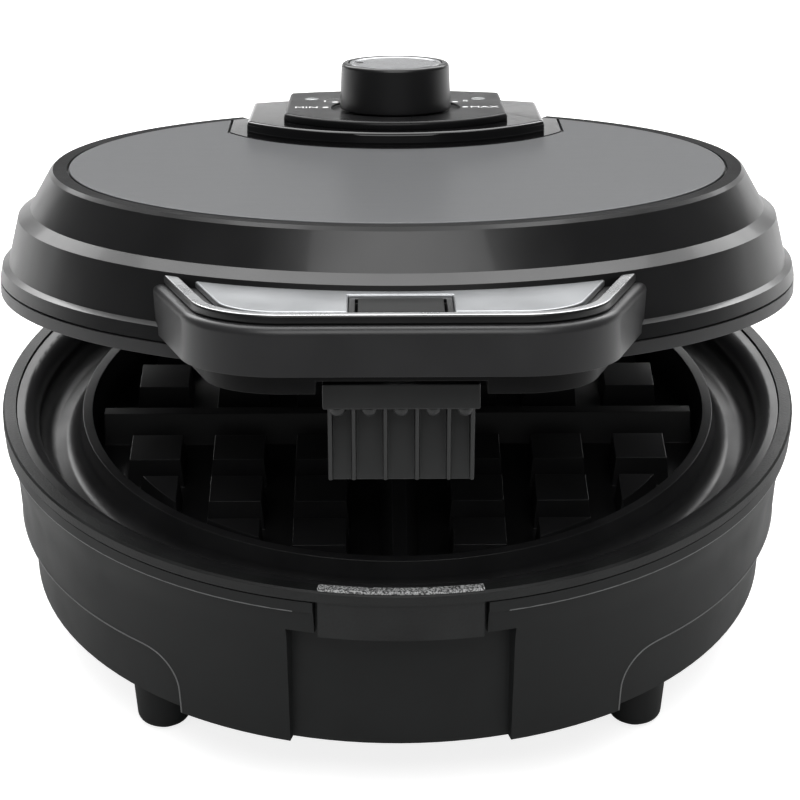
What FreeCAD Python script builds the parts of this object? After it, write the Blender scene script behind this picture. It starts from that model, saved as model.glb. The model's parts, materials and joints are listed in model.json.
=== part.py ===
"""Round waffle maker with an overflow moat, its lid held ajar on a rear hinge.

Millimetres, +Z up, the floor at Z 0, the front towards -Y and the base's axis on the Z axis.
Lid pieces are drawn with the lid shut and share one placement, which swings them about the hinge.
"""
import FreeCAD, Part
import math
import os

import Sketcher
from FreeCAD import Placement, Rotation, Vector

DRIVING_SIZES = {
    # base housing
    "base_bottom": 20.0, "base_radius": 114.8, "waist_z": 55.0, "waist_radius": 116.6,
    "collar_bottom": 66.6, "collar_top": 70.0, "collar_radius": 119.6, "collar_step": 0.6,
    "seat_radius": 112.6, "seat_bottom": 60.5, "mid_wall_radius": 110.4, "mid_wall_top": 59.0,
    "mid_wall_bottom": 43.0, "low_wall_radius": 108.8, "wall_step": 2.0, "cover_flange_radius": 101.0,
    "cover_flange_thick": 2.8, "scoop_top": 39.5, "scoop_top_radius": 113.0, "scoop_low_radius": 112.2,
    "scoop_span": 114.0, "scoop_corner": 12.0, "panel_radius": 112.0, "panel_half": 31.6,
    "cut_reach": 135.0, "cut_over": 5.0,
    # rim and catch
    "rim_top": 74.0, "rim_radius": 120.0, "rim_inner": 116.0, "rim_groove": 0.6, "rim_groove_deep": 1.0,
    "rim_chamfer": 0.6, "catch_half": 22.85, "catch_slit": 1.3, "catch_bottom": 59.0, "catch_radius": 119.4,
    "catch_inner": 116.2, "strip_inner": 117.3, "strip_outer": 119.8, "strip_thick": 1.0,
    # feet and bottom cover
    "cover_radius": 108.5, "cover_thick": 2.4, "foot_ring": 98.6, "foot_top_radius": 9.0,
    "foot_low_radius": 7.6, "foot_bottom": 1.0, "foot_round": 2.6, "pad_radius": 5.0, "pad_thick": 2.0,
    "vent_inner": 30.0, "vent_outer": 66.0, "vent_width": 5.0, "cover_screw_ring": 104.6,
    # lower plate
    "lip_radius": 115.8, "lip_top": 73.4, "lip_inner": 113.6, "moat_floor": 60.5, "moat_outer": 104.5,
    "moat_inner": 101.5, "moat_wall": 109.6, "moat_wall_z": 66.0, "ridge_outer": 96.0, "ridge_inner": 93.0,
    "ridge_top": 70.3, "grid_radius": 90.8, "grid_floor": 57.0, "plate_thick": 3.0, "post_first": 22.9,
    "post_pitch": 24.8, "post_side": 17.0, "post_tall": 9.0, "post_taper": 6.0, "post_limit": 86.5,
    "divider_low": 11.0, "divider_top": 4.0, "boss_ring": 40.0, "boss_radius": 4.5, "boss_tall": 9.7,
    "screw_hole": 1.7, "screw_radius": 1.6, "screw_head": 3.4, "screw_head_tall": 2.2, "screw_deep": 8.0,
    # heating
    "element_ring": 62.0, "element_radius": 3.3, "element_gap": 0.2, "element_turn": 330.0,
    "element_leg": 12.0, "tray_radius": 88.0, "tray_thick": 0.8, "leg_hole": 5.0, "cutout_radius": 7.0,
    "cutout_tall": 8.0, "terminal_half": 12.0, "terminal_front": 68.0, "terminal_deep": 14.0,
    "terminal_tall": 11.0,
    # cord gland
    "gland_z": 34.0, "gland_bore": 4.1, "gland_tube": 6.0, "gland_flange": 9.5, "gland_start": 103.0,
    "gland_end": 124.0, "gland_flange_y": 116.4, "gland_flange_thick": 3.0, "gland_nut_thick": 4.6,
    "gland_nut_flat": 8.4, "hole_gap": 0.1,
    # hinge
    "hinge_y": 130.0, "hinge_z": 78.0, "lid_open": 14.24, "pin_radius": 2.5, "running_gap": 0.05,
    "lug_inner": 36.0, "lug_thick": 8.0, "lug_round": 8.0, "lug_foot_front": 117.5, "lug_foot_rear": 129.0,
    "lug_knee": 72.0, "saddle_half": 48.0, "saddle_low": 44.0, "saddle_top": 54.5, "saddle_rear": 124.0,
    "saddle_radius": 116.9, "saddle_screw_x": 20.0, "saddle_screw_z": 49.2, "saddle_screw_deep": 111.5,
    "arm_inner": 24.0, "arm_outer": 35.6, "arm_round": 8.0, "yoke_low": 84.0, "yoke_top": 98.4,
    "yoke_rear": 124.0, "arm_front": 119.3, "arm_rear": 127.0, "pin_half": 46.4, "clip_radius": 4.6,
    "clip_thick": 1.2, "yoke_screw_x": 14.0, "yoke_screw_z": 93.0, "yoke_seat": 110.4, "anchor_long": 9.0,
    "anchor_start": 100.0, "spot_radius": 3.7,
    # lid housing
    "deck_top": 111.0, "deck_low": 108.5, "plate_recess": 98.1, "shoulder_top": 112.4,
    "shoulder_flat": 102.2, "shoulder_radius": 103.3, "shoulder_z": 111.4, "ledge_in": 109.1,
    "ledge_in_z": 101.2, "ledge_out": 112.8, "ledge_out_z": 98.7, "skirt_radius": 115.9, "flange_z": 85.4,
    "flange_edge": 117.8, "flange_edge_z": 84.6, "flange_radius": 118.5, "band_top": 81.0, "lid_wall": 2.4,
    "rear_block_in": 100.0, "rear_block_out": 105.6, "rear_block_low": 101.0, "rear_block_half": 46.6,
    "envelope_gap": 0.15,
    # upper plate
    "lid_bottom": 76.7, "band_radius": 118.5, "upper_web": 77.6, "upper_ring_low": 70.8,
    "upper_ring_in": 92.6, "upper_ring_out": 95.6, "upper_ring_root": 98.2, "upper_grid": 84.0,
    "upper_back": 87.5, "upper_back_radius": 95.2, "upper_step": 97.5, "band_inner": 113.5,
    "band_lip": 114.2, "upper_boss_tall": 8.5,
    # lid top and controls
    "top_plate_radius": 97.4, "top_plate_top": 112.6, "pod_half": 47.0, "pod_back_half": 46.3,
    "pod_front": 29.4, "pod_corner": 54.0, "pod_back": 104.4, "pod_top": 116.5, "pod_wall": 2.2,
    "pod_roof": 1.5, "skirt_half": 52.4, "skirt_front": 24.2, "skirt_corner": 57.0, "skirt_back": 97.4,
    "plate_gap": 0.8, "fascia_half": 35.3, "fascia_back_half": 34.4, "fascia_front": 35.0,
    "fascia_top": 119.0, "tier_round": 3.0, "knob_y": 66.0, "knob_recess": 20.6, "knob_recess_deep": 0.8,
    "shaft_hole": 4.6, "shaft_radius": 3.0, "shaft_low": 100.5, "shaft_top": 130.0, "knob_radius": 17.7,
    "knob_neck": 17.1, "knob_bottom": 118.9, "knob_top": 133.4, "knob_round": 1.6, "cap_radius": 14.8,
    "cap_recess": 1.0, "cap_gap": 0.2, "lens_x": 27.0, "lens_y": 84.0, "lens_radius": 2.4,
    "lens_top": 119.3, "board_half": 34.0, "board_front": 76.0, "board_deep": 15.0, "board_top": 112.8,
    "thermostat_radius": 13.0, "thermostat_low": 97.4, "bush_radius": 5.0, "bush_top": 113.0,
    # handle
    "handle_half": 51.5, "handle_front": 147.6, "handle_corner": 28.0, "handle_lean": 15.5,
    "handle_rear": 70.0, "handle_bottom": 82.4, "handle_deck": 95.4, "handle_round": 2.4,
    "handle_wall": 2.6, "handle_roof": 2.4, "frame_inset": 2.6, "frame_wide": 3.6, "frame_top": 98.0,
    "cover_inset": 9.6, "handle_cover_top": 97.4, "belly_inset": 6.2, "belly_bottom": 76.4,
    "handle_screw_x": 42.0, "handle_screw_y": 126.0, "handle_boss": 4.2, "notch_half": 13.75,
    "notch_rear": 117.3, "bezel_wide": 1.6, "bezel_top": 96.6, "bezel_gap": 0.2, "grip_screw_x": 30.0,
    "grip_screw_z": 89.2, "grip_seat": 108.5, "grip_boss_end": 126.0, "well_half": 11.9, "well_rear": 119.5,
    "well_front": 138.6, "sink_deep": 2.2,
    # latch
    "pivot_y": 139.0, "pivot_z": 87.8, "pivot_boss": 4.0, "pivot_pin": 1.5, "latch_back": 121.5,
    "latch_thick": 2.9, "latch_half": 19.2, "latch_low": 49.0, "latch_flange_half": 20.5,
    "latch_flange_low": 70.2, "latch_flange_top": 77.0, "latch_flange_front": 133.0, "hook_tip": 116.9,
    "hook_top": 58.4, "hook_nose": 56.0, "hook_root": 50.0, "rib_front": 131.5, "rib_foot": 0.9,
    "rib_thick": 1.2, "rib_pitch": 8.3, "lever_inner": 3.5, "lever_outer": 17.5, "lever_top": 91.4,
    "lever_rear": 125.0, "lever_rear_z": 86.0, "lever_foot": 126.6, "lever_heel": 84.2, "latch_slot": 22.0,
    "latch_slot_front": 137.5, "slot_roof": 79.8, "ear_inner": 18.0, "ear_thick": 3.4, "ear_rear": 133.0,
    "spring_radius": 3.0, "spring_half": 3.0, "tab_half": 11.2, "tab_front": 137.6, "tab_rear": 121.0,
    "tab_low": 95.8, "tab_top": 97.2, "stem_half": 10.0, "stem_front": 133.0, "stem_rear": 126.0,
}

FOOT_AZIMUTHS = (45.0, 135.0, 225.0, 315.0)
COVER_SCREW_AZIMUTHS = (0.0, 90.0, 180.0, 270.0)
BOSS_AZIMUTHS = (90.0, 210.0, 330.0)
VENT_COUNT = 8
FULL_TURN = 360.0
HALF_TURN = 180.0
REAR_AZIMUTH = 90.0
SIDES = (-1, 1)

doc = FreeCAD.newDocument("waffle_maker")
sheet = doc.addObject("Spreadsheet::Sheet", "dims")
nodes = {}


class Size:
    """A number together with the sheet expression that drives it."""

    def __init__(self, value, text):
        self.value = value
        self.text = text

    def __add__(self, other):
        other = as_size(other)
        return Size(self.value + other.value, f"({self.text} + {other.text})")

    def __sub__(self, other):
        other = as_size(other)
        return Size(self.value - other.value, f"({self.text} - {other.text})")

    def __mul__(self, other):
        other = as_size(other)
        return Size(self.value * other.value, f"({self.text} * {other.text})")

    def __truediv__(self, other):
        other = as_size(other)
        return Size(self.value / other.value, f"({self.text} / {other.text})")

    def __neg__(self):
        return Size(-self.value, f"(-{self.text})")


def as_size(number):
    """A plain number counts as a size with no cell behind it."""
    return number if isinstance(number, Size) else Size(float(number), repr(float(number)))


def leg(long_side, short_side):
    """The other leg of a right triangle: where a circle meets a line across it."""
    value = math.sqrt(long_side.value ** 2 - short_side.value ** 2)
    return Size(value, f"sqrt({long_side.text}^2 - {short_side.text}^2)")


def trig(name, angle):
    """Sine, cosine or tangent of an angle in degrees."""
    return Size(getattr(math, name)(math.radians(angle.value)), f"{name}({angle.text} * 1 deg)")


def half_angle(half_width, radius):
    """Twice the angle, in degrees, under which a half width shows at a radius."""
    value = 2 * math.degrees(math.asin(half_width.value / radius.value))
    return Size(value, f"(2 * asin({half_width.text} / {radius.text}) / 1 deg)")


class Sizes:
    """The sheet's cells, one attribute each."""

    def __init__(self, table):
        for row, (alias, value) in enumerate(table.items(), start=1):
            sheet.set(f"A{row}", alias)
            sheet.set(f"B{row}", str(value))
            sheet.setAlias(f"B{row}", alias)
            setattr(self, alias, Size(value, f"dims.{alias}"))


def bind(thing, name, size):
    """Drive one property from the sheet."""
    thing.setExpression(name, as_size(size).text)


def polar(radius, azimuth):
    """Point at a radius, with the azimuth counted from +X."""
    turn = math.radians(azimuth)
    return radius * math.cos(turn), radius * math.sin(turn)


def node(label, thing, swung=False):
    """Name a finished sub-part, and swing it with the lid where it rides there."""
    thing.Label = label
    if swung:
        thing.Placement = lid_pose.multiply(thing.Placement)
    nodes[label] = thing


def origin_feature(body, role):
    """One of the body's own origin planes or axes."""
    return next(feature for feature in body.Origin.OriginFeatures if feature.Role == role)


def flat(corner):
    """Sketch coordinates of a corner."""
    return Vector(as_size(corner[0]).value, as_size(corner[1]).value, 0)


def pin_down(sketch, geometry, position, corner):
    """Hold one sketch point at its corner, both ways, by the sheet."""
    for size, kind, axis in ((corner[0], "DistanceX", -2), (corner[1], "DistanceY", -1)):
        size = as_size(size)
        if size.value == 0:
            sketch.addConstraint(Sketcher.Constraint("PointOnObject", geometry, position, axis))
            continue
        index = sketch.addConstraint(Sketcher.Constraint(kind, -1, 1, geometry, position, size.value))
        sketch.setExpression(f"Constraints[{index}]", size.text)


def add_loop(sketch, corners):
    """Closed outline. A corner with a third entry starts an arc through that point."""
    count = len(corners)
    first = sketch.GeometryCount
    ends = []
    for place, corner in enumerate(corners):
        start, stop = flat(corner), flat(corners[(place + 1) % count])
        if len(corner) == 2:
            sketch.addGeometry(Part.LineSegment(start, stop), False)
            ends.append((1, 2))
            continue
        via = flat(corner[2])
        sketch.addGeometry(Part.Arc(start, via, stop), False)
        left_turn = (via - start).cross(stop - start).z > 0
        ends.append((1, 2) if left_turn else (2, 1))
    for place, corner in enumerate(corners):
        following = (place + 1) % count
        sketch.addConstraint(Sketcher.Constraint(
            "Coincident", first + place, ends[place][1], first + following, ends[following][0]))
        pin_down(sketch, first + place, ends[place][0], corner)
    for place, corner in enumerate(corners):
        if len(corner) == 3:
            point = sketch.addGeometry(Part.Point(flat(corner[2])), True)
            sketch.addConstraint(Sketcher.Constraint("PointOnObject", point, 1, first + place))
            pin_down(sketch, point, 1, corner[2])


def add_circle(sketch, centre, radius):
    """Circle about a point."""
    radius = as_size(radius)
    ring = sketch.addGeometry(Part.Circle(flat(centre), Vector(0, 0, 1), radius.value), False)
    pin_down(sketch, ring, 3, centre)
    index = sketch.addConstraint(Sketcher.Constraint("Radius", ring, radius.value))
    sketch.setExpression(f"Constraints[{index}]", radius.text)


def draw(body, plane, loops=(), circles=(), level=None):
    """Sketch on one of the body's own origin planes, lifted along its normal by level."""
    sketch = body.newObject("Sketcher::SketchObject", "outline")
    sketch.AttachmentSupport = [(origin_feature(body, plane), "")]
    sketch.MapMode = "FlatFace"
    if level is not None:
        bind(sketch, "AttachmentOffset.Base.z", level)
    for loop in loops:
        add_loop(sketch, loop)
    for centre, radius in circles:
        add_circle(sketch, centre, radius)
    return sketch


def new_body(name):
    """Empty body."""
    return doc.addObject("PartDesign::Body", name)


def settle(body, before, grows):
    """Recompute, and make sure that a feature added or removed something."""
    doc.recompute()
    change = body.Shape.Volume - before
    if (change > 0) != grows or change == 0:
        raise RuntimeError(f"{body.Name}: {body.Tip.Name} changed the volume by {change:.2f}")


def volume(body):
    """The body's volume so far."""
    return 0.0 if body.Tip is None or body.Shape.isNull() else body.Shape.Volume


def turn(body, sketch, span=FULL_TURN, cut=False):
    """Revolve an outline about the upright axis, or cut it away."""
    before = volume(body)
    feature = body.newObject("PartDesign::Groove" if cut else "PartDesign::Revolution", "turn")
    feature.Profile = sketch
    feature.ReferenceAxis = (sketch, ["V_Axis"])
    bind(feature, "Angle", span)
    feature.Midplane = as_size(span).value < FULL_TURN
    settle(body, before, not cut)
    return feature


def extrude(body, sketch, length, cut=False, both=False, back=False, taper=None):
    """Pad an outline along its plane's normal, or pocket it."""
    before = volume(body)
    feature = body.newObject("PartDesign::Pocket" if cut else "PartDesign::Pad", "extrude")
    feature.Profile = sketch
    bind(feature, "Length", length)
    feature.SideType = "Symmetric" if both else "One side"
    feature.Reversed = back
    if taper is not None:
        bind(feature, "TaperAngle", taper)
    settle(body, before, not cut)
    return feature


def repeat(body, features, count, span=FULL_TURN):
    """Polar pattern about the upright axis."""
    pattern = body.newObject("PartDesign::PolarPattern", "repeat")
    pattern.Originals = features
    pattern.Axis = (origin_feature(body, "Z_Axis"), [""])
    pattern.Angle = span
    pattern.Occurrences = count
    body.Tip = pattern
    doc.recompute()
    return pattern


def mirror(body, features):
    """The same features on the other side of the middle plane."""
    mirrored = body.newObject("PartDesign::Mirrored", "mirror")
    mirrored.Originals = features
    mirrored.MirrorPlane = (origin_feature(body, "YZ_Plane"), [""])
    body.Tip = mirrored
    doc.recompute()
    return mirrored


def round_edges(body, radius, wanted):
    """Fillet the edges that a test picks out."""
    base = body.Tip
    names = [f"Edge{place}" for place, edge in enumerate(base.Shape.Edges, start=1) if wanted(edge)]
    fillet = body.newObject("PartDesign::Fillet", "round")
    fillet.Base = (base, names)
    bind(fillet, "Radius", radius)
    doc.recompute()


def box_loop(low_x, low_y, high_x, high_y):
    """Rectangle between two corners."""
    return [(low_x, low_y), (high_x, low_y), (high_x, high_y), (low_x, high_y)]


def rod(radius, length, base, axis=Vector(0, 0, 1)):
    """Part cylinder from a base point along an axis."""
    thing = doc.addObject("Part::Cylinder", "rod")
    bind(thing, "Radius", radius)
    bind(thing, "Height", length)
    thing.Placement = Placement(Vector(), Rotation(Vector(0, 0, 1), axis))
    for letter, size in zip("xyz", base):
        bind(thing, f"Placement.Base.{letter}", size)
    return thing


def fuse(parts):
    """Several solids made one."""
    thing = doc.addObject("Part::MultiFuse", "fuse")
    thing.Shapes = parts
    return thing


def cut(base, tool):
    """One solid less another."""
    thing = doc.addObject("Part::Cut", "cut")
    thing.Base = base
    thing.Tool = tool
    return thing


def group(parts):
    """Separate solids kept in one node."""
    thing = doc.addObject("Part::Compound", "group")
    thing.Links = parts
    return thing


def screw(base, length, axis):
    """Pan-head screw: shank along the axis from the base point, head behind it."""
    head_base = [as_size(place) - d.screw_head_tall * step for place, step in zip(base, axis)]
    shank = rod(d.screw_radius, length, base, axis)
    head = rod(d.screw_head, d.screw_head_tall, head_base, axis)
    return fuse([shank, head])


d = Sizes(DRIVING_SIZES)
doc.recompute()
UP = Vector(0, 0, 1)
DOWN = Vector(0, 0, -1)
REAR = Vector(0, 1, 0)
FRONT = Vector(0, -1, 0)
RIGHT = Vector(1, 0, 0)
lid_pose = Placement(Vector(), Rotation(RIGHT, -d.lid_open.value),
                     Vector(0, d.hinge_y.value, d.hinge_z.value))


def lid_envelope(body):
    """Cut a body back to just outside the shut lid's wall."""
    gap = d.envelope_gap
    sketch = draw(body, "XZ_Plane", [[
        (0, d.lid_bottom - d.cut_over), (d.flange_radius + gap, d.lid_bottom - d.cut_over),
        (d.flange_radius + gap, d.band_top), (d.flange_edge + gap, d.flange_edge_z + gap),
        (d.skirt_radius + gap, d.flange_z + gap), (d.ledge_out + gap, d.ledge_out_z + gap),
        (0, d.ledge_out_z + gap)]])
    turn(body, sketch, cut=True)


def cover_screw_circles():
    """Holes for the bottom cover's screws."""
    ring = d.cover_screw_ring.value
    return [(polar(ring, azimuth), d.screw_hole) for azimuth in COVER_SCREW_AZIMUTHS]


def base_housing():
    """Moulded tub: skirts front and rear, a scooped foot on each side, a catch panel in front."""
    body = new_body("base_housing")
    flange_low = d.base_bottom + d.cover_thick
    flange_top = flange_low + d.cover_flange_thick
    turn(body, draw(body, "XZ_Plane", [[
        (d.base_radius, d.base_bottom), (d.waist_radius, d.waist_z),
        (d.collar_radius - d.collar_step, d.collar_bottom), (d.collar_radius, d.collar_bottom),
        (d.collar_radius, d.collar_top), (d.seat_radius, d.collar_top), (d.seat_radius, d.seat_bottom),
        (d.mid_wall_radius, d.mid_wall_top), (d.mid_wall_radius, d.mid_wall_bottom),
        (d.low_wall_radius, d.mid_wall_bottom - d.wall_step), (d.low_wall_radius, flange_top),
        (d.cover_flange_radius, flange_top), (d.cover_flange_radius, flange_low),
        (d.low_wall_radius, flange_low), (d.low_wall_radius, d.base_bottom)]]))
    low = d.base_bottom - d.cut_over
    scoop = turn(body, draw(body, "XZ_Plane", [[
        (d.scoop_low_radius, low), (d.cut_reach, low), (d.cut_reach, d.scoop_top),
        (d.scoop_top_radius, d.scoop_top), (d.scoop_low_radius, d.base_bottom)]]), d.scoop_span, cut=True)
    repeat(body, [scoop], 2)
    corner_z = d.scoop_top.value
    round_edges(body, d.scoop_corner, lambda edge: edge.Curve.TypeId == "Part::GeomLine"
                and abs(edge.BoundBox.ZMin - corner_z) < 0.01 and abs(edge.BoundBox.ZMax - corner_z) < 0.01)
    turn(body, draw(body, "YZ_Plane", [box_loop(-d.cut_reach, low, -d.panel_radius, d.catch_bottom)]),
         half_angle(d.panel_half, d.waist_radius), cut=True)
    turn(body, draw(body, "YZ_Plane", [box_loop(
        -d.cut_reach, d.catch_bottom, -d.catch_inner + d.hole_gap, d.rim_top)]),
        half_angle(d.catch_half + d.catch_slit, d.catch_radius), cut=True)
    extrude(body, draw(body, "XZ_Plane", circles=[((0, d.gland_z), d.gland_tube + d.hole_gap)]),
            d.cut_reach, cut=True)
    screw_holes = [((side * d.saddle_screw_x.value, d.saddle_screw_z), d.screw_hole) for side in SIDES]
    extrude(body, draw(body, "XZ_Plane", circles=screw_holes), d.cut_reach, cut=True)
    extrude(body, draw(body, "XY_Plane", circles=cover_screw_circles(), level=flange_low), d.screw_deep,
            cut=True, back=True)
    node("base_housing", body)


def base_rim():
    """Textured ring round the plate, with the latch's catch hanging from it in front."""
    body = new_body("base_rim")
    foot = d.rim_radius - d.rim_groove_deep
    groove_top = d.collar_top + d.rim_groove
    turn(body, draw(body, "XZ_Plane", [[
        (d.rim_inner, d.collar_top), (foot, d.collar_top), (foot, groove_top), (d.rim_radius, groove_top),
        (d.rim_radius, d.rim_top - d.rim_chamfer), (d.rim_radius - d.rim_chamfer, d.rim_top),
        (d.rim_inner, d.rim_top)]]))
    turn(body, draw(body, "YZ_Plane", [box_loop(
        -d.catch_radius, d.catch_bottom, -d.catch_inner, d.rim_top)]), half_angle(d.catch_half, d.catch_radius))
    node("base_rim", body)


def catch_strip():
    """Granular strip on top of the catch."""
    body = new_body("catch_strip")
    turn(body, draw(body, "YZ_Plane", [box_loop(
        -d.strip_outer, d.rim_top, -d.strip_inner, d.rim_top + d.strip_thick)]),
        half_angle(d.catch_half, d.strip_outer))
    node("catch_strip", body)


def bottom_cover():
    """Flat cover with radial vent slots."""
    body = new_body("bottom_cover")
    low, thick = d.base_bottom, d.cover_thick
    extrude(body, draw(body, "XY_Plane", circles=[((0, 0), d.cover_radius)], level=low), thick)
    half = d.vent_width / 2
    slot = extrude(body, draw(body, "XY_Plane", [box_loop(d.vent_inner, -half, d.vent_outer, half)], level=low),
                   thick, cut=True, back=True)
    repeat(body, [slot], VENT_COUNT)
    extrude(body, draw(body, "XY_Plane", circles=cover_screw_circles(), level=low), thick, cut=True, back=True)
    node("bottom_cover", body)
    node("bottom_cover_screws", group([
        screw((*centre, low), thick + d.cover_flange_thick, UP) for centre, _ in cover_screw_circles()]))


def feet():
    """Four tapered feet with rubber pads let into them."""
    posts = []
    pads = []
    for azimuth in FOOT_AZIMUTHS:
        x, y = polar(d.foot_ring.value, azimuth)
        cone = doc.addObject("Part::Cone", "foot")
        bind(cone, "Radius1", d.foot_low_radius)
        bind(cone, "Radius2", d.foot_top_radius)
        bind(cone, "Height", d.base_bottom - d.foot_bottom)
        cone.Placement.Base = Vector(x, y, 0)
        bind(cone, "Placement.Base.z", d.foot_bottom)
        doc.recompute()
        rounded = doc.addObject("Part::Fillet", "foot_rounded")
        rounded.Base = cone
        bottom = next(place for place, edge in enumerate(cone.Shape.Edges, start=1)
                      if edge.BoundBox.ZMax < d.foot_bottom.value + d.hole_gap.value)
        rounded.Edges = [(bottom, d.foot_round.value, d.foot_round.value)]
        posts.append(cut(rounded, rod(d.pad_radius, d.pad_thick, (x, y, 0))))
        pads.append(rod(d.pad_radius, d.pad_thick, (x, y, 0)))
    node("feet", group(posts))
    node("foot_pads", group(pads))


def posts_and_dividers(body, level, tall, back):
    """Waffle posts in four fields, with a ridge between the fields."""
    half = d.post_side / 2
    limit = d.post_limit
    centres = [d.post_first + d.post_pitch * step for step in range(3)]
    loops = []
    for column in centres[:2]:
        for row in centres[:2]:
            loops.append(box_loop(column - half, row - half, column + half, row + half))
    far = centres[2]
    near = centres[0]
    loops.append(box_loop(far - half, near - half, far + half, near + half))
    loops.append(box_loop(near - half, far - half, near + half, far + half))
    low, high, inside = centres[1] - half, centres[1] + half, far - half
    loops.append([(inside, low), (leg(limit, low), low, (leg(limit, (low + high) / 2), (low + high) / 2)),
                  (leg(limit, high), high), (inside, high)])
    loops.append([(low, inside), (high, inside), (high, leg(limit, high), ((low + high) / 2,
                  leg(limit, (low + high) / 2))), (low, leg(limit, low))])
    field = extrude(body, draw(body, "XY_Plane", loops, level=level), tall, back=back, taper=-d.post_taper)
    repeat(body, [field], 4)
    sign = -1 if back else 1
    wide, thin = d.divider_low / 2, d.divider_top / 2
    ridge = extrude(body, draw(body, "XZ_Plane", [[
        (-wide, level), (wide, level), (thin, level + tall * sign), (-thin, level + tall * sign)]]),
        d.grid_radius * 2 - d.wall_step, both=True)
    repeat(body, [ridge], 2, 90.0)


def boss_circles(radius):
    """Circles at the plate's screw bosses."""
    return [(polar(d.boss_ring.value, azimuth), radius) for azimuth in BOSS_AZIMUTHS]


def lower_plate():
    """Cast plate: lip on the tub, round moat, ridge and waffle posts."""
    body = new_body("lower_plate")
    back = d.grid_floor - d.plate_thick
    under = d.moat_floor - d.plate_thick
    turn(body, draw(body, "XZ_Plane", [[
        (d.seat_radius - d.collar_step, d.collar_top), (d.lip_radius, d.collar_top),
        (d.lip_radius, d.lip_top), (d.lip_inner, d.lip_top, (d.moat_wall + 1.1, d.lip_top - 1.7)),
        (d.moat_wall, d.moat_wall_z, (d.moat_wall - 1.5, d.moat_floor + 1.6)),
        (d.moat_outer, d.moat_floor),
        (d.moat_inner, d.moat_floor, (d.moat_inner - 3.4, d.moat_floor + 1.9)),
        (d.ridge_outer + 0.9, d.moat_wall_z), (d.ridge_outer, d.ridge_top), (d.ridge_inner, d.ridge_top),
        (d.grid_radius, d.grid_floor), (0, d.grid_floor), (0, back), (d.ridge_inner, back),
        (d.ridge_outer, under), (d.moat_outer + d.wall_step, under), (d.moat_wall, d.mid_wall_top),
        (d.seat_radius - d.collar_step, d.moat_wall_z)]]))
    posts_and_dividers(body, d.grid_floor, d.post_tall, False)
    tray = back - d.boss_tall
    extrude(body, draw(body, "XY_Plane", circles=boss_circles(d.boss_radius), level=tray), d.boss_tall)
    extrude(body, draw(body, "XY_Plane", circles=boss_circles(d.screw_hole), level=tray), d.screw_deep,
            cut=True, back=True)
    node("lower_plate", body)
    heater("lower", back, tray, -1)
    node("thermal_cutout", group([rod(d.cutout_radius, d.cutout_tall, (0, 0, back - d.cutout_tall))]))


def heater(name, face, tray, sign, swung=False):
    """Bent-tube element on the plate's back, the reflector tray behind it and the tray's screws."""
    ring = doc.addObject("Part::Torus", "element")
    bind(ring, "Radius1", d.element_ring)
    bind(ring, "Radius2", d.element_radius)
    bind(ring, "Angle3", d.element_turn)
    half_gap = (FULL_TURN - d.element_turn.value) / 2
    ring.Placement.Rotation = Rotation(UP, REAR_AZIMUTH + half_gap)
    tips = [polar(d.element_ring.value, REAR_AZIMUTH + half_gap * side) for side in SIDES]
    legs = [rod(d.element_radius, d.element_leg, (*tip, 0), DOWN) for tip in tips]
    elbows = []
    for tip in tips:
        elbow = doc.addObject("Part::Sphere", "elbow")
        bind(elbow, "Radius", d.element_radius)
        elbow.Placement.Base = Vector(*tip, 0)
        elbows.append(elbow)
    tube = fuse([ring, *legs, *elbows])
    tube.Placement.Rotation = Rotation(RIGHT, HALF_TURN if sign > 0 else 0)
    tube.Placement.Base = Vector(0, 0, (face + (d.element_radius + d.element_gap) * sign).value)
    node(f"{name}_heating_element", tube, swung)
    ends = [(x, -y if sign > 0 else y) for x, y in tips]

    body = new_body(f"{name}_reflector")
    wall_end = face + d.element_gap * sign
    far = tray + d.tray_thick * sign
    turn(body, draw(body, "XZ_Plane", [[
        (0, tray), (d.tray_radius - d.tray_thick, tray), (d.tray_radius - d.tray_thick, wall_end),
        (d.tray_radius, wall_end), (d.tray_radius, far), (0, far)]]))
    holes = boss_circles(d.screw_hole) + [(end, d.leg_hole) for end in ends]
    extrude(body, draw(body, "XY_Plane", circles=holes, level=tray), d.tray_thick, cut=True, back=sign > 0)
    node(f"{name}_reflector", body, swung)
    node(f"{name}_plate_screws", group([
        screw((*polar(d.boss_ring.value, azimuth), far), d.screw_deep, DOWN if sign > 0 else UP)
        for azimuth in BOSS_AZIMUTHS]), swung)


def wiring_block():
    """Terminal block on the bottom cover."""
    block = doc.addObject("Part::Box", "terminal_block")
    bind(block, "Length", d.terminal_half * 2)
    bind(block, "Width", d.terminal_deep)
    bind(block, "Height", d.terminal_tall)
    bind(block, "Placement.Base.x", -d.terminal_half)
    bind(block, "Placement.Base.y", d.terminal_front)
    bind(block, "Placement.Base.z", d.base_bottom + d.cover_thick)
    node("terminal_block", block)


def cord_gland():
    """Bush for the mains lead in the rear wall, with the nut that holds it from inside."""
    tube = rod(d.gland_tube, d.gland_end - d.gland_start, (0, d.gland_start, d.gland_z), REAR)
    flange = rod(d.gland_flange, d.gland_flange_thick, (0, d.gland_flange_y, d.gland_z), REAR)
    bore = rod(d.gland_bore, d.gland_end - d.gland_start, (0, d.gland_start, d.gland_z), REAR)
    node("cord_gland", cut(fuse([tube, flange]), bore))
    hexagon = doc.addObject("Part::Prism", "nut")
    hexagon.Polygon = 6
    bind(hexagon, "Circumradius", d.gland_nut_flat)
    bind(hexagon, "Height", d.gland_nut_thick)
    hexagon.Placement.Rotation = Rotation(UP, REAR)
    bind(hexagon, "Placement.Base.y", d.gland_start)
    bind(hexagon, "Placement.Base.z", d.gland_z)
    hole = rod(d.gland_tube + d.running_gap, d.gland_nut_thick, (0, d.gland_start, d.gland_z), REAR)
    node("cord_gland_nut", cut(hexagon, hole))


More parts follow.
